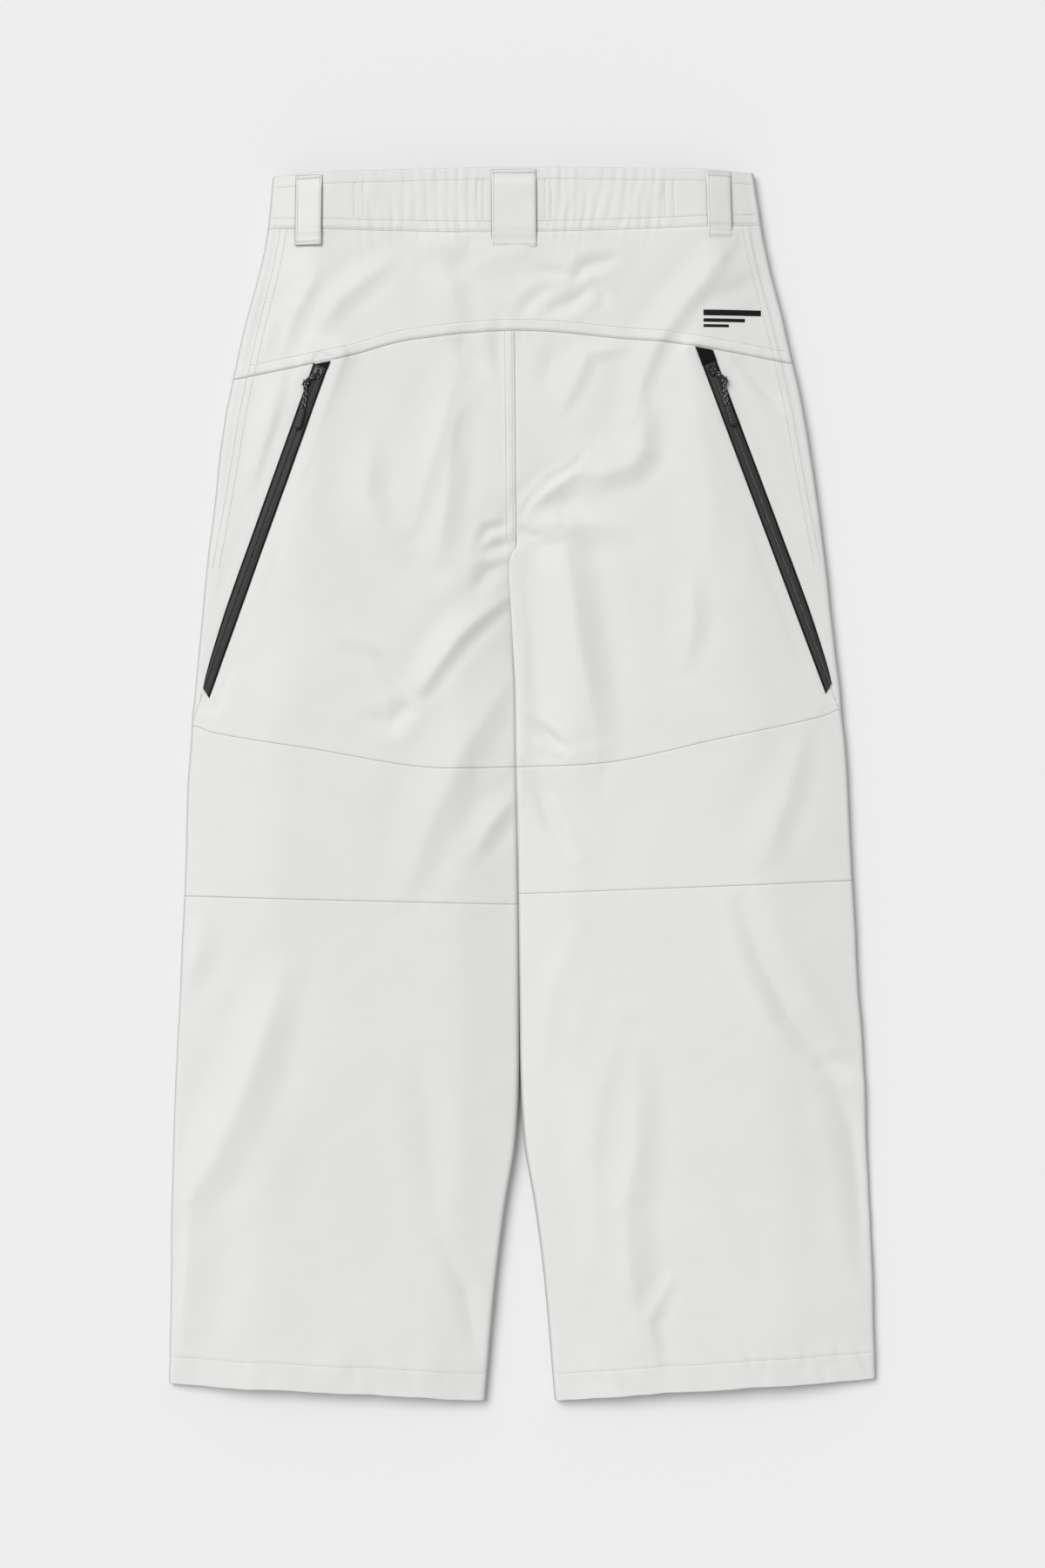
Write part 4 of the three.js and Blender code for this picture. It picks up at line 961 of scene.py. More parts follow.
def make_waistband():
    band = panel("waistband_back_cloth", 0, waist_seam, waist_top, 330, 54, step=1.6, fold=1)
    own(band, "garment", "waistband_back", "shell_fabric")
    facing = plain_grid("waistband_facing_cloth", -184, 184, lambda x: waist_seam(x) + 1,
                        lambda x: waist_top(x) - 2, lambda x, y: base_height(x, y) - 4.3, ("lining",), 0.7)
    own(facing, "garment", "waistband_facing", "lining")
    for name, side in SIDES:
        low, high = sorted((side * ELASTIC_FROM, side * ELASTIC_TO))
        web = plain_grid(f"{name}_waist_elastic_web", low, high, lambda x: waist_seam(x) + 4,
                         lambda x: waist_top(x) - 4, lambda x, y: surface(x, y) - 1.2, ("elastic",), 0.9, 1.6)
        own(web, "garment", f"{name}_waist_elastic", "elastic")
        front = front_panel(f"{name}_waistband_front_cloth", side, waist_seam, waist_top, 90, 54, fold=1)
        own(front, "garment", f"{name}_waistband_front", "shell_fabric")


FLY_HALF = 8.3
FLY_FOOT = 299
FRONT_ROUNDS = 6


def front_height(x, y, side):
    """Height of the front's outer face, which looks down."""
    edge = side_edge(y) - np.abs(x)
    inseam = np.where(y >= CROTCH_Y, 99, np.abs(x) - inner_edge(side, y))
    tucked = smooth((15 - edge) / 5) + smooth((15 - inseam) / 5)
    ripple = 0.35 + 0.35 * soft_noise(x + 400, y, 46, 11) + 0.16 * soft_noise(x, y, 15, 12)
    under_tab = 3.2 * smooth((37 - np.abs(x)) / 4) * (y > waist_seam(x)) * (side > 0)
    return front_bottom(x, y) + 0.35 + np.maximum(ripple, 0) + 1.4 * np.minimum(tucked, 1) + under_tab


def front_panel(name, side, lower, upper, cols, length, fold=0, low_reach=13):
    """One panel of the front, lying inside the turned edges of the back."""
    rows = seam_rows(length, CLOTH_STEP, low_reach=low_reach)[:, None]
    u = np.linspace(0, 1, cols)[None, :]
    x = np.full((len(rows), cols), 100.0)
    y = lower(x) + (upper(x) - lower(x)) * rows
    for _ in range(FRONT_ROUNDS):
        folded = smooth((CROTCH_Y + (12 if side > 0 else -6) - y) / 24)
        open_fly = (FLY_HALF - 0.2) * smooth((y - FLY_FOOT) / 5) * (y < waist_seam(x) + 0.5)
        low_x = inner_edge(side, y) + 0.2 + (ROLL + 3) * folded + open_fly
        x = low_x + (side_edge(y) - ROLL - 3 - low_x) * u
        y = lower(side * x) + (upper(side * x) - lower(side * x)) * rows
    xs, y, zs = flipped(side > 0, side * x, y, front_height(side * x, y, side))
    if fold:
        xs, y, zs = turned_edge(xs, y, zs, 1.1, fold, FOLD_DEPTH)
    return thicken(grid_object(name, xs, y, zs, ("shell", "lining")), 1.0, True)


def make_front():
    for name, side in SIDES:
        front = front_panel(f"{name}_front_cloth", side, upper_knee_seam, waist_seam, 100, 450)
        own(front, "garment", f"{name}_front_panel", "shell_fabric")
        knee = front_panel(f"{name}_knee_front_cloth", side, lower_knee_seam, upper_knee_seam, 100, 118)
        lower = front_panel(f"{name}_lower_front_cloth", side, hem_edge, lower_knee_seam, 100, 428, -1, 27)
        own_across_knee(knee, f"{name}_knee_front_panel")
        own_across_knee(lower, f"{name}_lower_front_panel")


def leg_ring(name, side, lower, upper, inset, rows, material, thickness, ruffle=0.0):
    """A band of cloth inside a leg, all the way round it, facing inward."""
    top_count, turn_count = 80, 8
    shares = np.linspace(0, 1, top_count)
    turns = np.linspace(0, math.pi, turn_count + 2)[1:-1]
    sections = []
    for share in np.linspace(0, 1, rows):
        y = np.zeros(top_count) + HEM_Y + 60
        for _ in range(4):
            inner, side_x = inner_edge(side, y) + ROLL, side_edge(y) - ROLL
            x = inner + (side_x - inner) * shares
            y = lower(x) + (upper(x) - lower(x)) * share
        gather = ruffle * (1 - share) * soft_noise(x, y * 0.3, 9, 41)
        top = surface(side * x, y, side) - inset + np.minimum(gather, 0.3)
        bottom = 2.2 + inset * 0.3 + np.abs(gather) * 0.6
        bulge = max(ROLL - inset, 0.8)
        ends = []
        for k, sign in ((-1, 1), (0, -1)):
            middle, half = (top[k] + bottom[k]) / 2, (top[k] - bottom[k]) / 2
            ends.append([(x[k] + sign * bulge * math.sin(turn), y[k], middle + half * math.cos(turn))
                         for turn in turns])
        loop = list(zip(x, y, top)) + ends[0] + list(zip(x, y, bottom))[::-1] + ends[1][::-1]
        sections.append(loop + loop[:1])
    points = np.array(sections)
    xs, ys, zs = flipped(side > 0, side * points[..., 0], points[..., 1], points[..., 2])
    return thicken(welded(grid_object(name, xs, ys, zs, (material,))), thickness)


def welded(obj):
    """Joins the vertices that lie on one another."""
    work = bmesh.new()
    work.from_mesh(obj.data)
    bmesh.ops.remove_doubles(work, verts=work.verts[:], dist=1e-6)
    work.to_mesh(obj.data)
    work.free()
    obj.data.update()
    return obj


def make_leg_insides():
    for name, side in SIDES:
        turning = leg_ring(f"{name}_hem_turning_cloth", side, lambda x: hem_edge(x) + 1.2, hem_row, 2.0, 10,
                           "shell", -0.7)
        own(turning, f"{name}_lower_leg", f"{name}_hem_turning", "shell_fabric")
        gaiter = leg_ring(f"{name}_snow_gaiter_cloth", side, lambda x: hem_edge(x) + GAITER_LOW,
                          lambda x: hem_edge(x) + GAITER_HIGH, 3.4, 44, "lining", -0.8, 0.9)
        own(gaiter, f"{name}_lower_leg", f"{name}_snow_gaiter", "lining")


# ---- Lofted and tubular parts ------------------------------------------------
def smooth_path(points, count):
    """A rounded line through points, resampled evenly."""
    pts = np.array(points, float)
    padded = np.vstack([2 * pts[0] - pts[1], pts, 2 * pts[-1] - pts[-2]])
    fine = []
    for a, b, c, d in zip(padded, padded[1:], padded[2:], padded[3:]):
        for t in np.linspace(0, 1, 16, endpoint=False):
            fine.append(0.5 * (2 * b + (c - a) * t + (2 * a - 5 * b + 4 * c - d) * t ** 2
                               + (3 * b - a - 3 * c + d) * t ** 3))
    fine = np.array(fine + [pts[-1]])
    run = np.concatenate([[0], np.cumsum(np.linalg.norm(np.diff(fine, axis=0), axis=1))])
    even = np.linspace(0, run[-1], count)
    return np.stack([np.interp(even, run, fine[:, k]) for k in range(3)], 1)


def tube(name, path, radius, materials, sides=10, flat=1.0):
    """A round cord or rod along a path in millimetres, its UV running along it and round it."""
    path = np.array(path, float)
    tangents = np.gradient(path, axis=0)
    tangents /= np.linalg.norm(tangents, axis=1)[:, None]
    normal = np.cross(tangents[0], (0.12, 0.2, 1.0))
    rings, uvs, run = [], [], 0.0
    for k, (point, tangent) in enumerate(zip(path, tangents)):
        run += np.linalg.norm(path[k] - path[k - 1]) if k else 0
        normal = normal - tangent * np.dot(normal, tangent)
        normal /= np.linalg.norm(normal)
        other = np.cross(tangent, normal)
        size = radius[k] if np.ndim(radius) else radius
        for j in range(sides + 1):
            turn = 2 * math.pi * j / sides
            rings.append(point + size * (math.cos(turn) * normal + flat * math.sin(turn) * other))
            uvs.append((run * MM, j / sides))
    wide = sides + 1
    faces = [(k * wide + j, k * wide + j + 1, (k + 1) * wide + j + 1, (k + 1) * wide + j)
             for k in range(len(path) - 1) for j in range(sides)]
    last = (len(path) - 1) * wide
    faces += [tuple(range(sides - 1, -1, -1)), tuple(range(last, last + sides))]
    return welded(mesh_object(name, np.array(rings) * MM, faces, materials, uvs))


def ring_faces(rings, count):
    """Sides and flat ends over rings of count points each."""
    last = (rings - 1) * count
    faces = []
    for low in range(0, last, count):
        high = low + count
        for j in range(count):
            after = (j + 1) % count
            faces.append((low + j, low + after, high + after, high + j))
    return faces + [tuple(range(count - 1, -1, -1)), tuple(range(last, last + count))]


def loft(name, stations, materials, sides=24, power=2.0):
    """Rings of (x, y, z, half width across y, half height along z), joined and capped."""
    rings = []
    for x, y, z, half_y, half_z in stations:
        for j in range(sides):
            turn = 2 * math.pi * j / sides
            c, s = math.cos(turn), math.sin(turn)
            rings.append((x, y + half_y * math.copysign(abs(c) ** (2 / power), c),
                          z + half_z * math.copysign(abs(s) ** (2 / power), s)))
    return mesh_object(name, np.array(rings) * MM, ring_faces(len(stations), sides), materials)


def placed(obj, origin, along, across, out):
    """Turns a part drawn in a slider's own axes into the garment's, leaving its object at the origin."""
    turn = Matrix([list(row) for row in zip(along, across, out)]).to_4x4()
    obj.data.transform(Matrix.Translation(Vector(origin) * MM) @ turn)
    if turn.determinant() < 0:
        obj.data.flip_normals()
    obj.data.update()
    return obj


def joined(name, parts):
    """Several parts of one material set as one object."""
    work = bmesh.new()
    materials = []
    for part in parts:
        first = len(work.faces)
        work.from_mesh(part.data)
        work.faces.ensure_lookup_table()
        for face in work.faces[first:]:
            material = part.data.materials[face.material_index]
            if material not in materials:
                materials.append(material)
            face.material_index = materials.index(material)
        old = part.data
        bpy.data.objects.remove(part)
        bpy.data.meshes.remove(old)
    mesh = bpy.data.meshes.new(name)
    work.to_mesh(mesh)
    work.free()
    for material in materials:
        mesh.materials.append(material)
    obj = bpy.data.objects.new(name, mesh)
    bpy.context.scene.collection.objects.link(obj)
    return obj


def prism(name, outline, low, high, bevel, materials):
    """A plate with rounded edges over an outline drawn anticlockwise in x and y."""
    points = np.array(outline, float)
    middle = points.mean(0)
    rings = []
    for z, inset in ((low, bevel), (low + bevel, 0), (high - bevel, 0), (high - bevel * 0.3, bevel * 0.3),
                     (high, bevel)):
        reach = np.linalg.norm(points - middle, axis=1)[:, None]
        inner = middle + (points - middle) * (1 - inset / reach)
        rings.append(np.column_stack([inner, np.full(len(points), z)]))
    faces = ring_faces(len(rings), len(points))
    return mesh_object(name, np.vstack(rings) * MM, faces, materials, smooth_faces=False)


# ---- Zips --------------------------------------------------------------------
SLIDER_THICKNESS = 2
GRIP_LENGTH = 17
GRIP_HEIGHT = 2.8
GRIP_HOLD = 1.6
GRIP_RIBS = 7
CORD_DIAMETER = 1.8
KNOT_TURNS = 2.15
COIL_PITCH = 1.35
COIL_DEPTH = 1.7


def slider_outline():
    """Shoulders at the leading end and a narrower tail."""
    return [(-4.5, -2.6), (-3.6, -3.6), (-2.2, -4.0), (0.6, -3.9), (2.6, -3.0), (4.2, -2.7), (4.5, -2.3),
            (4.5, 2.3), (4.2, 2.7), (2.6, 3.0), (0.6, 3.9), (-2.2, 4.0), (-3.6, 3.6), (-4.5, 2.6)]


def make_slider(name):
    body = prism(f"{name}_plate", slider_outline(), 0.15, SLIDER_THICKNESS, 0.35, ("metal",))
    ridge = prism(f"{name}_ridge", [(-3.4, -1.3), (3.4, -0.9), (3.4, 0.9), (-3.4, 1.3)], 1.9, 2.5, 0.2,
                  ("metal",))
    arch = [(-3.1, 0, 1.7), (-3.0, 0, 3.6), (-2.3, 0, 4.9), (0, 0, 5.25), (2.3, 0, 4.9), (3.0, 0, 3.6),
            (3.1, 0, 1.7)]
    bridge = tube(f"{name}_bridge", smooth_path(arch, 22), 0.62, ("metal",), 10, 1.25)
    return joined(f"{name}_body", [body, ridge, bridge])


def pull_line(sign):
    """One strand of the pull's cord, from the slider's bridge to the grip."""
    return [(1.3, sign * 1.5, 3.0), (4.5, 2.6 + sign * 1.3, 2.8), (8.0, 5.4 + sign * 0.9, 3.0),
            (12.5, 6.2 + sign * 0.8, 2.9), (17, 4.6 + sign * 1.0, 2.3), (22, 3.3 + sign * 1.05, 1.9),
            (CORD_REACH - 5, 1.6 + sign * 1.0, 2.0), (CORD_REACH, 0.9 + sign * 1.0, 2.3)]


def make_pull(name):
    """The doubled cord with its knot, and the ribbed grip moulded on its end."""
    points = pull_line(1)[::-1] + [(-0.1, 0.9, 3.5), (-0.1, -0.9, 3.5)] + pull_line(-1)
    path = smooth_path(points, 150)
    cord = tube(f"{name}_braid", path, CORD_DIAMETER / 2, ("cord",), 12)
    turns = np.linspace(0, 2 * math.pi * KNOT_TURNS, 64)
    knot_path = np.stack([11.4 + 2.0 * (turns / turns[-1] - 0.5) * 2.1 + 0.35 * np.cos(turns),
                          6.2 + 2.15 * np.cos(turns), 2.95 + 1.75 * np.sin(turns)], 1)
    knot = tube(f"{name}_knot", knot_path, CORD_DIAMETER / 2, ("cord",), 12)
    return cord, knot, make_grip(f"{name}_grip_moulding"), path


def make_grip(name):
    """A ribbed bar that widens a little toward its free end."""
    stations = []
    for share in np.linspace(0, 1, 40):
        end = math.sqrt(max(0.02, 1 - (2 * share - 1) ** 6))
        rib = 0.22 * math.cos(share * 2 * math.pi * GRIP_RIBS) * (0.15 < share < 0.85)
        x = CORD_REACH - GRIP_HOLD + (GRIP_LENGTH + GRIP_HOLD) * share
        half_y = (2.5 + 1.0 * share) * end + rib * 0.5
        half_z = (1.75 + 0.25 * share) * end + rib
        stations.append((x, 0.9 - 0.8 * share, GRIP_HEIGHT, half_y, half_z))
    return loft(name, stations, ("grip",), 24, 2.8)


def vent_frame(side, along_distance):
    """Origin and axes of a vent slider."""
    x, y = vent_point(along_distance)
    z = VENT_TOP_Z - VENT_FALL * along_distance + SEAM_GAP
    along = Vector((side * VENT_ALONG[0], VENT_ALONG[1], -VENT_FALL)).normalized()
    across = Vector((side * VENT_OUT[0], VENT_OUT[1], -VENT_TILT)).normalized()
    out = along.cross(across) * side
    return (side * x, y, z), along, across, out


def tape_limits(side, out):
    """Where a zip tape starts and ends along its line, at a distance out from the line."""
    start = np.zeros_like(out)
    for _ in range(6):
        x, y = vent_point(start, out)
        start = start + (y - yoke_seam(side * x) + 0.9) / -VENT_ALONG[1]
    return start, VENT_LENGTH + 1 - TAPE_END_SLANT * (out + VENT_TAPE / 2)


tape_reach = curve_through([(-400, 6.5), (-95, 6.5), (-44, 5.0), (-16, 3.0), (-6, 1.6), (0, 0.7), (10, 0.4)])


def make_tape(name, side, half):
    """One half of a vent zip: a tape with a film edge, rolled down into the slit."""
    inner, outer = 0.16, VENT_TAPE / 2
    profile = [(outer, -0.35), (outer, 0.15), (outer - 0.35, 0.3), (outer - 1.5, 0.32), (outer - 1.7, 0.4),
               (3.4, 0.42), (2.6, 0.7), (1.2, 0.78), (0.5, 0.6), (inner, 0.1), (inner, -0.9)]
    shares = np.linspace(0, 1, 130)[:, None]
    reach = np.array([point[0] for point in profile])[None, :]
    lift = np.array([point[1] for point in profile])[None, :]
    out = half * np.repeat(reach, len(shares), 0)
    for _ in range(4):
        start, end = tape_limits(side, out)
        along = start + (end - start) * shares
        limit = tape_reach(along - VENT_LENGTH) if half > 0 else outer
        out = half * np.minimum(reach, np.maximum(inner + (limit - inner) * reach / outer, inner))
    x, y = vent_point(along, out)
    x = side * x
    wave = 0.22 * soft_noise(along + 50 * half, out * 0, 13, 51)
    z = base_height(x, y, side) + lift + wave * (reach > 3)
    x, y, z = flipped(side * half > 0, x, y, z)
    obj = grid_object(name, x[::-1], y[::-1], z[::-1], ("tape", "border"))
    quads = len(profile) - 1
    for index, face in enumerate(obj.data.polygons):
        column = index % quads
        column = quads - 1 - column if side * half > 0 else column
        face.material_index = 1 if column <= 3 or column >= quads - 2 else 0
    return obj


def make_garage(name, side):
    """The bonded patch that the parked slider sits against, cut along the yoke's seam."""
    out = np.linspace(-GARAGE_HALF, GARAGE_HALF, 13)[None, :]
    start, _ = tape_limits(side, out)
    along = start + (GARAGE_LENGTH - start) * np.linspace(0, 1, 10)[:, None]
    x, y = vent_point(along, out)
    x = side * x
    from_end = np.minimum(along - start, GARAGE_LENGTH - along)
    rim = np.minimum(1, np.minimum((GARAGE_HALF + 0.2 - np.abs(out)) / 0.6, from_end / 0.5 + 0.3))
    z = base_height(x, y, side) + 0.55 + 0.6 * np.sqrt(np.clip(rim, 0, 1))
    x, y, z = flipped(side < 0, x, y, z)
    return thicken(grid_object(name, x[::-1], y[::-1], z[::-1], ("border",)), 0.5)


def add_socket(tree, label, kind, value=None):
    socket = tree.interface.new_socket(label, in_out="INPUT", socket_type=kind)
    if value is not None:
        socket.default_value = value


def make_run_tree():
    """Geometry nodes: one small part repeated along lines at an even pitch."""
    tree = bpy.data.node_groups.new("repeat_along_lines", "GeometryNodeTree")
    add_socket(tree, "Geometry", "NodeSocketGeometry")
    add_socket(tree, "Pitch", "NodeSocketFloat", 0.003)
    add_socket(tree, "Part", "NodeSocketObject")
    add_socket(tree, "Unevenness", "NodeSocketFloat", 0.1)
    add_socket(tree, "Seed", "NodeSocketInt", 5)
    add_socket(tree, "Material", "NodeSocketMaterial")
    tree.interface.new_socket("Geometry", in_out="OUTPUT", socket_type="NodeSocketGeometry")
    source, sink = tree.nodes.new("NodeGroupInput"), tree.nodes.new("NodeGroupOutput")
    out = source.outputs
    curve = add_node(tree, "GeometryNodeMeshToCurve", {"Mesh": out["Geometry"]})
    points = add_node(tree, "GeometryNodeCurveToPoints", {"Curve": curve.outputs[0], "Length": out["Pitch"]},
                      mode="LENGTH")
    aimed = add_node(tree, "FunctionNodeAlignRotationToVector", {"Vector": points.outputs["Tangent"]},
                     axis="X")
    least, most = (maths(tree, word, 1.0, out["Unevenness"]) for word in ("SUBTRACT", "ADD"))
    size = add_node(tree, "FunctionNodeRandomValue", {"Seed": out["Seed"], 2: least, 3: most},
                    data_type="FLOAT")
    part = add_node(tree, "GeometryNodeObjectInfo", {"Object": out["Part"]})
    placed_parts = add_node(tree, "GeometryNodeInstanceOnPoints", {
        "Points": points.outputs["Points"], "Instance": part.outputs["Geometry"],
        "Rotation": aimed.outputs[0], "Scale": size.outputs[1]})
    real = add_node(tree, "GeometryNodeRealizeInstances", {"Geometry": placed_parts.outputs[0]})
    coloured = add_node(tree, "GeometryNodeSetMaterial",
                        {"Geometry": real.outputs[0], "Material": out["Material"]})
    tree.links.new(coloured.outputs[0], sink.inputs[0])
    return tree


RUN_TREE = make_run_tree()


def repeat_along(name, lines, part, pitch, material, seed=5, unevenness=0.1):
    """Runs a small part along lines given in millimetres, as one plain mesh."""
    mesh = bpy.data.meshes.new(name)
    vertices, edges = [], []
    for line in lines:
        first = len(vertices)
        vertices += [tuple(np.array(point) * MM) for point in line]
        edges += [(first + k, first + k + 1) for k in range(len(line) - 1)]
    mesh.from_pydata(vertices, edges, [])
    obj = bpy.data.objects.new(name, mesh)
    bpy.context.scene.collection.objects.link(obj)
    run = obj.modifiers.new("run", "NODES")
    run.node_group = RUN_TREE
    values = {"Pitch": pitch * MM, "Part": part, "Unevenness": unevenness, "Seed": seed,
              "Material": MATERIALS[material]}
    for item in RUN_TREE.interface.items_tree:
        if item.in_out == "INPUT" and item.name in values:
            run[item.identifier] = values[item.name]
    baked(obj)
    obj.data.polygons.foreach_set("use_smooth", [True] * len(obj.data.polygons))
    return obj


def small_pill(name, half_length, half_width, half_height, material, across=False):
    """A rounded bar a few dozen faces big, along x, or along y when across."""
    stations = []
    for share in (-1, -0.75, 0, 0.75, 1):
        girth = 0.35 if abs(share) == 1 else 1.0
        stations.append((share * half_length, 0, 0, half_width * girth, half_height * girth))
    pill = loft(name, stations, (material,), 6)
    if across:
        pill.data.transform(Matrix.Rotation(math.pi / 2, 4, "Z"))
    return pill


def remove_part(part):
    mesh = part.data
    bpy.data.objects.remove(part)
    bpy.data.meshes.remove(mesh)


def make_vent_zips():
    tooth = small_pill("coil_turn", 2.2, 0.42, 0.6, "coil", True)
    for name, side in SIDES:
        for half, word in ((-1, "inner"), (1, "outer")):
            tape = make_tape(f"{name}_vent_{word}_tape_cloth", side, half)
            own(tape, "garment", f"{name}_vent_zip_{word}_tape", "zip_tape")
        line = []
        for along in np.linspace(SLIDER_START, VENT_LENGTH - 7, 60):
            x, y = vent_point(along)
            line.append((side * x, y, float(base_height(side * x, y, side)) - COIL_DEPTH))
        coil = repeat_along(f"{name}_vent_coil_turns", [line], tooth, COIL_PITCH, "coil", unevenness=0.0)
        own(coil, "garment", f"{name}_vent_zip_coil", "zip_coil")
        own(make_garage(f"{name}_vent_garage_film", side), "garment", f"{name}_vent_garage", "zip_garage")
        place = vent_frame(side, SLIDER_START)
        own(placed(make_slider(f"{name}_vent_slider"), *place), f"{name}_vent_slider", f"{name}_vent_slider",
            "dark_metal")
        make_placed_pull(f"{name}_vent_pull", place)
    own_fly_coil(tooth)
    remove_part(tooth)


def make_placed_pull(body, place):
    cord, knot, grip, path = make_pull(body)
    for piece in (cord, knot, grip):
        placed(piece, *place)
    own(cord, body, f"{body}_cord", "pull_cord")
    own(knot, body, None, "pull_cord")
    own(grip, body, f"{body}_grip", "moulded_grip")


# ---- Fly ---------------------------------------------------------------------
FLY_TAPE_Z = 6.7
FLY_TAPE_ENDS = (301, 474)
FLY_COIL_ENDS = (305, 469)
FLY_COIL_Z = 9.1
FLY_SHIELD_ENDS = (295, 469)
FLY_SHIELD_SIDES = (-25, 30)
FLY_SHIELD_Z = 11.1
FLY_SLIDER_Y = 465.85
FLY_SLIDER_Z = 6.2
SNAP_CENTRE = (19, 502.1)
TAB_WIDTH = 32.6
TAB_LENGTH = 52
TAB_FOOT_Y = 476
TAB_Z = 6.55
TAB_CORNER = 6


def own_fly_coil(tooth):
    line = [(0, y, FLY_COIL_Z) for y in np.linspace(*FLY_COIL_ENDS, 60)]
    coil = repeat_along("fly_coil_turns", [line], tooth, COIL_PITCH, "coil", unevenness=0.0)
    own(coil, "garment", "fly_zip_coil", "zip_coil")


def make_fly_tapes():
    profile = np.array([(8.2, 1.4), (8.2, 0.2), (7.6, 0.05), (3.2, 0.0), (2.2, -0.25), (1.0, -0.3),
                        (0.25, 0.0), (0.25, 1.2)])
    for name, side in SIDES:
        ys = np.linspace(*FLY_TAPE_ENDS, 70)[:, None]
        x = side * profile[:, 0][None, :] + 0 * ys
        z = FLY_TAPE_Z + profile[:, 1][None, :] + 0.1 * soft_noise(ys, x, 17, 55)
        x, y, z = flipped(side < 0, x, ys + 0 * x, z)
        tape = grid_object(f"{name}_fly_tape_cloth", x, y, z, ("tape",))
        own(tape, "garment", f"{name}_fly_zip_tape", "zip_tape")


def make_fly_shield():
    x = np.linspace(*FLY_SHIELD_SIDES, 30)[None, :] + np.zeros((60, 1))
    y = np.linspace(*FLY_SHIELD_ENDS, 60)[:, None] + 0 * x
    z = FLY_SHIELD_Z + 0.25 * soft_noise(x, y, 22, 56)
    shield = thicken(grid_object("fly_shield_cloth", x, y, z, ("shell",)), 0.8)
    own(shield, "garment", "fly_shield", "shell_fabric")


def make_fly_slider():
    along, out = Vector((0, -1, 0)), Vector((0, 0, -1))
    place = ((0, FLY_SLIDER_Y, FLY_SLIDER_Z), along, out.cross(along), out)
    own(placed(make_slider("fly_slider"), *place), "fly_slider", "fly_slider", "dark_metal")
    make_placed_pull("fly_pull", place)


def make_fly():
    """The front zip, its shield, and the tab that snaps over it, all on the side that faces down."""
    make_fly_tapes()
    make_fly_shield()
    make_fly_slider()
    make_waist_tab()


def make_waist_tab():
    """A flap with rounded outer corners, a soft rim and one row of stitching pressed in."""
    u, v = np.linspace(0, 1, 26)[None, :], np.linspace(0, 1, 36)[:, None]
    across, along = TAB_WIDTH + 0.4, TAB_LENGTH + 1     # measured over the rolled rim
    from_end = np.minimum(v, 1 - v) * along
    corner = TAB_CORNER * np.clip(1 - from_end / TAB_CORNER, 0, 1) ** 2
    x = SEAM_GAP + (TAB_WIDTH - corner) * u
    y = TAB_FOOT_Y + TAB_LENGTH * v + 0 * u
    rim = np.minimum(np.minimum(u * across + 2, (1 - u) * across), from_end)
    stitched = 0.12 * np.exp(-((rim - 2.4) / 0.5) ** 2)
    z = TAB_Z + 0.5 * np.clip(1 - rim / 0.8, 0, 1) ** 2 + stitched + 0 * x
    tab = thicken(grid_object("waist_tab_cloth", x[:, ::-1], y, z[:, ::-1], ("shell",)), 1.4)
    own(tab, "waist_tab", "waist_tab", "shell_fabric")
    cap = [(-0.0, 6.9), (-0.35, 6.9), (-0.8, 6.4), (-1.2, 5.2), (-1.35, 4.2), (-1.15, 3.6), (-1.05, 1.2),
           (-1.1, 0.1)]
    disc("snap_cap_metal", (*SNAP_CENTRE, 6.2), cap, "waist_tab", "snap_cap")
    stud = [(0.0, 4.9), (0.4, 4.9), (0.75, 4.5), (0.8, 2.4), (0.35, 2.0), (0.3, 0.1)]
    disc("snap_stud_metal", (*SNAP_CENTRE, 8.5), stud, "garment", "snap_stud")


def disc(name, centre, profile, body, node):
    """A turned metal part from (height, radius) pairs."""
    stations = [(h, 0, 0, r, r) for h, r in profile]
    part = loft(name, stations, ("metal",), 36)
    up = Vector((0, 0, 1))
    placed(part, centre, up, Vector((1, 0, 0)), Vector((0, 1, 0)))
    own(part, body, node, "dark_metal")


# ---- Belt loops --------------------------------------------------------------
OUTER_LOOP_X = 177
# Belt loops: name, middle, width, reach below the waistband, whether on the front.
LOOPS = (
    ("left_back_belt_loop", -OUTER_LOOP_X, 23.5, 14.5, False),
    ("right_back_belt_loop", OUTER_LOOP_X, 22, 11.5, False),
    ("centre_belt_loop", 0, 39, 14, False),
    ("left_front_belt_loop", -120, 20, 8, True), ("right_front_belt_loop", 120, 20, 8, True),
)
LOOP_ARCH = 1.5
LOOP_LEAN = 0.02


def loop_ends(centre, overhang):
    return float(waist_seam(centre)) - overhang, float(waist_top(centre)) - 0.4


def loop_height(centre, overhang, y):
    """Height of a belt loop's outer side above the waistband, from foot to foot."""
    low, high = loop_ends(centre, overhang)
    arch = LOOP_ARCH * smooth((y - low - 6) / 9) * smooth((high - 5 - y) / 9)
    fold = np.sqrt(np.clip((y - low) / 1.1, 0, 1)) * np.sqrt(np.clip((high - y) / 1.0, 0, 1))
    return 0.2 + 1.2 * fold + arch


def loop_lean(centre, y, low):
    """How far a loop has leaned toward the middle, at a height above its foot."""
    return LOOP_LEAN * centre / OUTER_LOOP_X * (y - low)


def loop_base(x, y, front):
    """Height of what a loop lies on. A front loop's is measured downward."""
    if front:
        return -(front_bottom(x, y) + 0.5)
    return base_height(x, y) - 0.35 * np.exp(-((y - waist_seam(x)) / 2) ** 2)


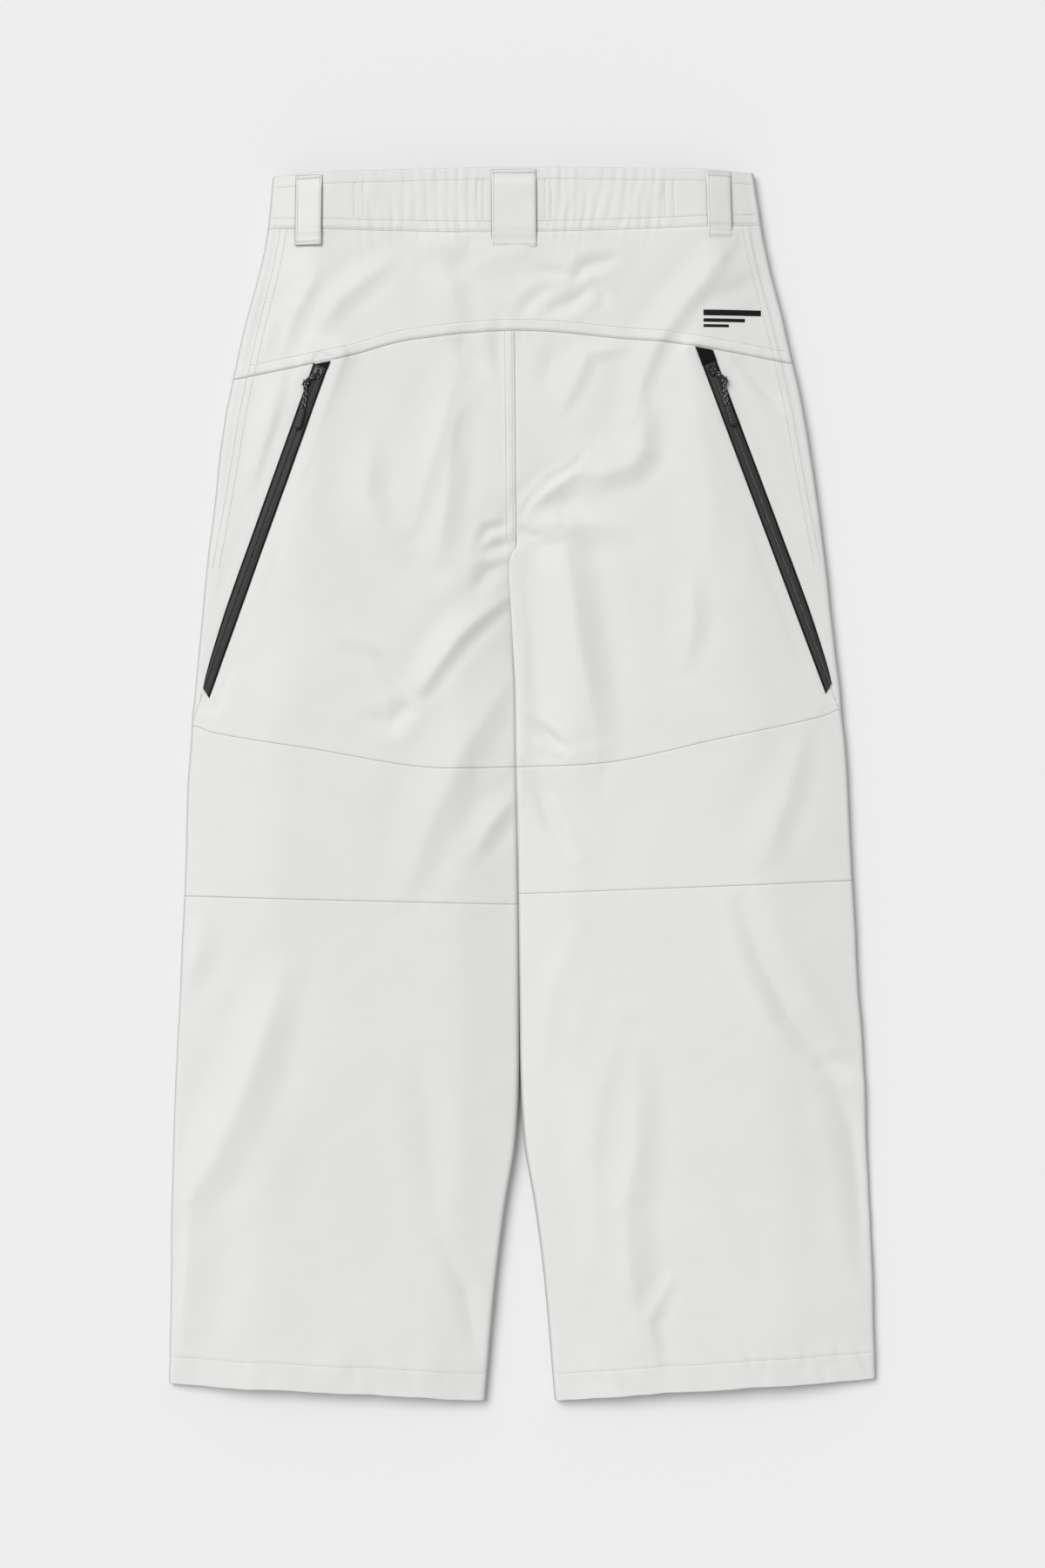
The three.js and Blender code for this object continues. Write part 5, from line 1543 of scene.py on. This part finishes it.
def make_belt_loops():
    for name, centre, width, overhang, front in LOOPS:
        low, high = loop_ends(centre, overhang)
        rows, cols = int((high - low) / 1.0), int(width / 1.1)
        v = np.linspace(0, 1, rows)[:, None]
        u = np.linspace(-1, 1, cols)[None, :]
        ragged = 0.25 * soft_noise(u * 10, v * 3, 5, centre + 300)
        y = low + (high - low) * v + 0.5 * u * (centre / OUTER_LOOP_X) + ragged
        x = centre + u * width / 2 - loop_lean(centre, y, low)
        rim = (1 - np.abs(u)) * width / 2
        edge = np.sqrt(np.clip(rim / 0.7, 0, 1))
        groove = 0.22 * np.exp(-((rim - 2.2) / 0.6) ** 2)
        lift = loop_height(centre, overhang, y) * (0.55 + 0.45 * edge) - groove
        lift += 0.18 * soft_noise(x, y, 9, 57) * edge
        z = loop_base(x, y, front) + lift
        x, y, z = flipped(front, x, y, -z if front else z)
        strap = thicken(grid_object(f"{name}_strap", x, y, z, ("shell",)), 1.0)
        own(strap, "garment", name, "shell_fabric")


# ---- Print and stitches ------------------------------------------------------
STITCH_PITCH = 3.1
TACK_PITCH = 1.3
HEM_STITCH_PITCH = 3.3
# Printed bars: left, right, low and high edges.
PRINT_BARS = ((162, 212, 402, 407), (162, 198, 396.5, 399.5), (162, 184, 392, 394.5))


def make_print():
    """Three plain bars."""
    bars = []
    for k, (left, right, low, high) in enumerate(PRINT_BARS):
        x = np.linspace(left, right, int((right - left) / 1.5))[None, :] + np.zeros((5, 1))
        y = np.linspace(low, high, 5)[:, None] + 0 * x
        bars.append(thicken(grid_object(f"print_bar_{k}", x, y, surface(x, y) + 0.14, ("print",)), 0.1))
    own(joined("back_print_bars", bars), "garment", "back_print", "print")


def across_lines(row, low_x, high_x, leg=0, lift=0.12):
    x = np.linspace(low_x, high_x, max(8, int(abs(high_x - low_x) / 2)))
    y = row(x)
    return list(zip(x, y, surface(x, y, leg) + lift))


def up_line(x_at, low_y, high_y, leg=0, lift=0.12):
    y = np.linspace(low_y, high_y, max(8, int(abs(high_y - low_y) / 2)))
    x = x_at(y)
    return list(zip(x, y, surface(x, y, leg) + lift))


def garment_stitch_lines():
    lines = []
    for row in STITCH_ROWS:
        reach = float(side_edge(row(200))) - ROLL - 1
        lines.append(across_lines(row, -reach, reach))
    for place in CENTRE_STITCHES:
        lines.append(up_line(lambda y, p=place: 0 * y + p, CROTCH_Y + 6, float(yoke_seam(0)) - 2, -1))
    for line in ELASTIC_STITCHES:
        for sign in (-1, 1):
            x = sign * line
            lines.append(up_line(lambda y, p=x: 0 * y + p, float(waist_high_row(x)), float(waist_top_row(x))))
    for _, side in SIDES:
        for beside in (2.2, 8.0):
            lines.append(up_line(lambda y, s=side, b=beside: s * (side_edge(y) - side_seam_inset(y) - b),
                                 190, float(waist_seam(200)) - 2, side))
    for _, centre, width, overhang, front in LOOPS:
        low, high = loop_ends(centre, overhang)
        for sign in (-1, 1):
            y = np.linspace(low + 1.5, high - 2, 40)
            x = centre + sign * (width / 2 - 2.2) - loop_lean(centre, y, low)
            z = loop_base(x, y, front) + loop_height(centre, overhang, y)
            lines.append(list(zip(x, y, -z if front else z)))
    return lines


def bartack_lines():
    """Close zigzags across both feet of each belt loop."""
    lines = []
    for _, centre, width, overhang, front in LOOPS:
        low, high = loop_ends(centre, overhang)
        for y0 in (low + 3.2, high - 3.0):
            x = np.linspace(centre - width / 2 + 1.5, centre + width / 2 - 1.5, int(width * 1.6))
            y = y0 + 0.7 * (-1.0) ** np.arange(len(x))
            z = loop_base(x, y, front) + loop_height(centre, overhang, y) + 0.05
            lines.append(list(zip(x, y, -z if front else z)))
    return lines


def make_all_stitches():
    stitch = small_pill("stitch", 1.25, 0.27, 0.2, "thread")
    rows = repeat_along("garment_stitches", garment_stitch_lines(), stitch, STITCH_PITCH, "thread")
    own(rows, "garment", None, "shell_fabric")
    tacks = repeat_along("loop_bartacks", bartack_lines(), stitch, TACK_PITCH, "thread", 9)
    own(tacks, "garment", None, "shell_fabric")
    for name, side in SIDES:
        reach = float(side_edge(HEM_Y + HEM_TURNING)) - ROLL - 1
        low = float(inner_edge(side, HEM_Y + HEM_TURNING)) + ROLL + 1
        back = across_lines(hem_row, side * low, side * reach, side)
        x = np.linspace(side * (low + 6), side * (reach - 6), 130)
        y = hem_row(x)
        front = list(zip(x, y, front_height(x, y, side) - 0.1))
        hem = repeat_along(f"{name}_hem_stitches", [back, front], stitch, HEM_STITCH_PITCH, "thread", 6)
        own(hem, f"{name}_lower_leg", None, "shell_fabric")
    remove_part(stitch)


# ---- Camera, light and floor -------------------------------------------------
VIEW_HEIGHT = 3000
VIEW_SPAN = 1350                 # millimetres seen along the picture's long side
VIEW_CENTRE = (3.8, 1.1)
VIEW_ROLL = -0.42                # degrees
SENSOR = 36
WORLD_STRENGTH = 0.468
SUN_STRENGTH = 2.2
SUN_SPREAD = 40                  # degrees
SUN_DIRECTION = (0.45, -0.45, -0.9)
FLOOR_HALF = 4.0                 # metres
FLOOR_TONE = 0.815


def make_camera():
    data = bpy.data.cameras.new("camera")
    data.sensor_width = SENSOR
    data.lens = SENSOR * VIEW_HEIGHT / VIEW_SPAN
    data.clip_end = 50
    camera = bpy.data.objects.new("camera", data)
    camera.location = (VIEW_CENTRE[0] * MM, VIEW_CENTRE[1] * MM, (VIEW_HEIGHT + 12) * MM)
    camera.rotation_euler = (0, 0, math.radians(VIEW_ROLL))
    bpy.context.scene.collection.objects.link(camera)
    bpy.context.scene.camera = camera


def make_light():
    scene = bpy.context.scene
    scene.view_settings.view_transform = "Standard"
    world = bpy.data.worlds.new("soft_room")
    world.use_nodes = True
    background = world.node_tree.nodes["Background"]
    background.inputs["Color"].default_value = (1.0, 1.0, 1.0, 1)
    background.inputs["Strength"].default_value = WORLD_STRENGTH
    scene.world = world
    sun = bpy.data.lights.new("soft_key", "SUN")
    sun.energy = SUN_STRENGTH
    sun.angle = math.radians(SUN_SPREAD)
    lamp = bpy.data.objects.new("soft_key", sun)
    lamp.rotation_euler = Vector(SUN_DIRECTION).to_track_quat("-Z", "Y").to_euler()
    scene.collection.objects.link(lamp)


def make_floor():
    half = FLOOR_HALF
    mesh = bpy.data.meshes.new("floor")
    corners = [(-half, -half, 0), (half, -half, 0), (half, half, 0), (-half, half, 0)]
    mesh.from_pydata(corners, [], [(0, 1, 2, 3)])
    floor = bpy.data.objects.new("floor", mesh)
    floor.location.z = -0.0003
    material = bpy.data.materials.new("pale_floor")
    material.use_nodes = True
    shader = material.node_tree.nodes["Principled BSDF"]
    shader.inputs["Base Color"].default_value = (FLOOR_TONE, FLOOR_TONE, FLOOR_TONE, 1)
    shader.inputs["Roughness"].default_value = 0.9
    shader.inputs["Specular IOR Level"].default_value = 0.1
    mesh.materials.append(material)
    bpy.context.scene.collection.objects.link(floor)


make_camera()
make_light()
make_floor()
make_back()
make_waistband()
make_front()
make_leg_insides()
make_vent_zips()
make_fly()
make_belt_loops()
make_print()
make_all_stitches()
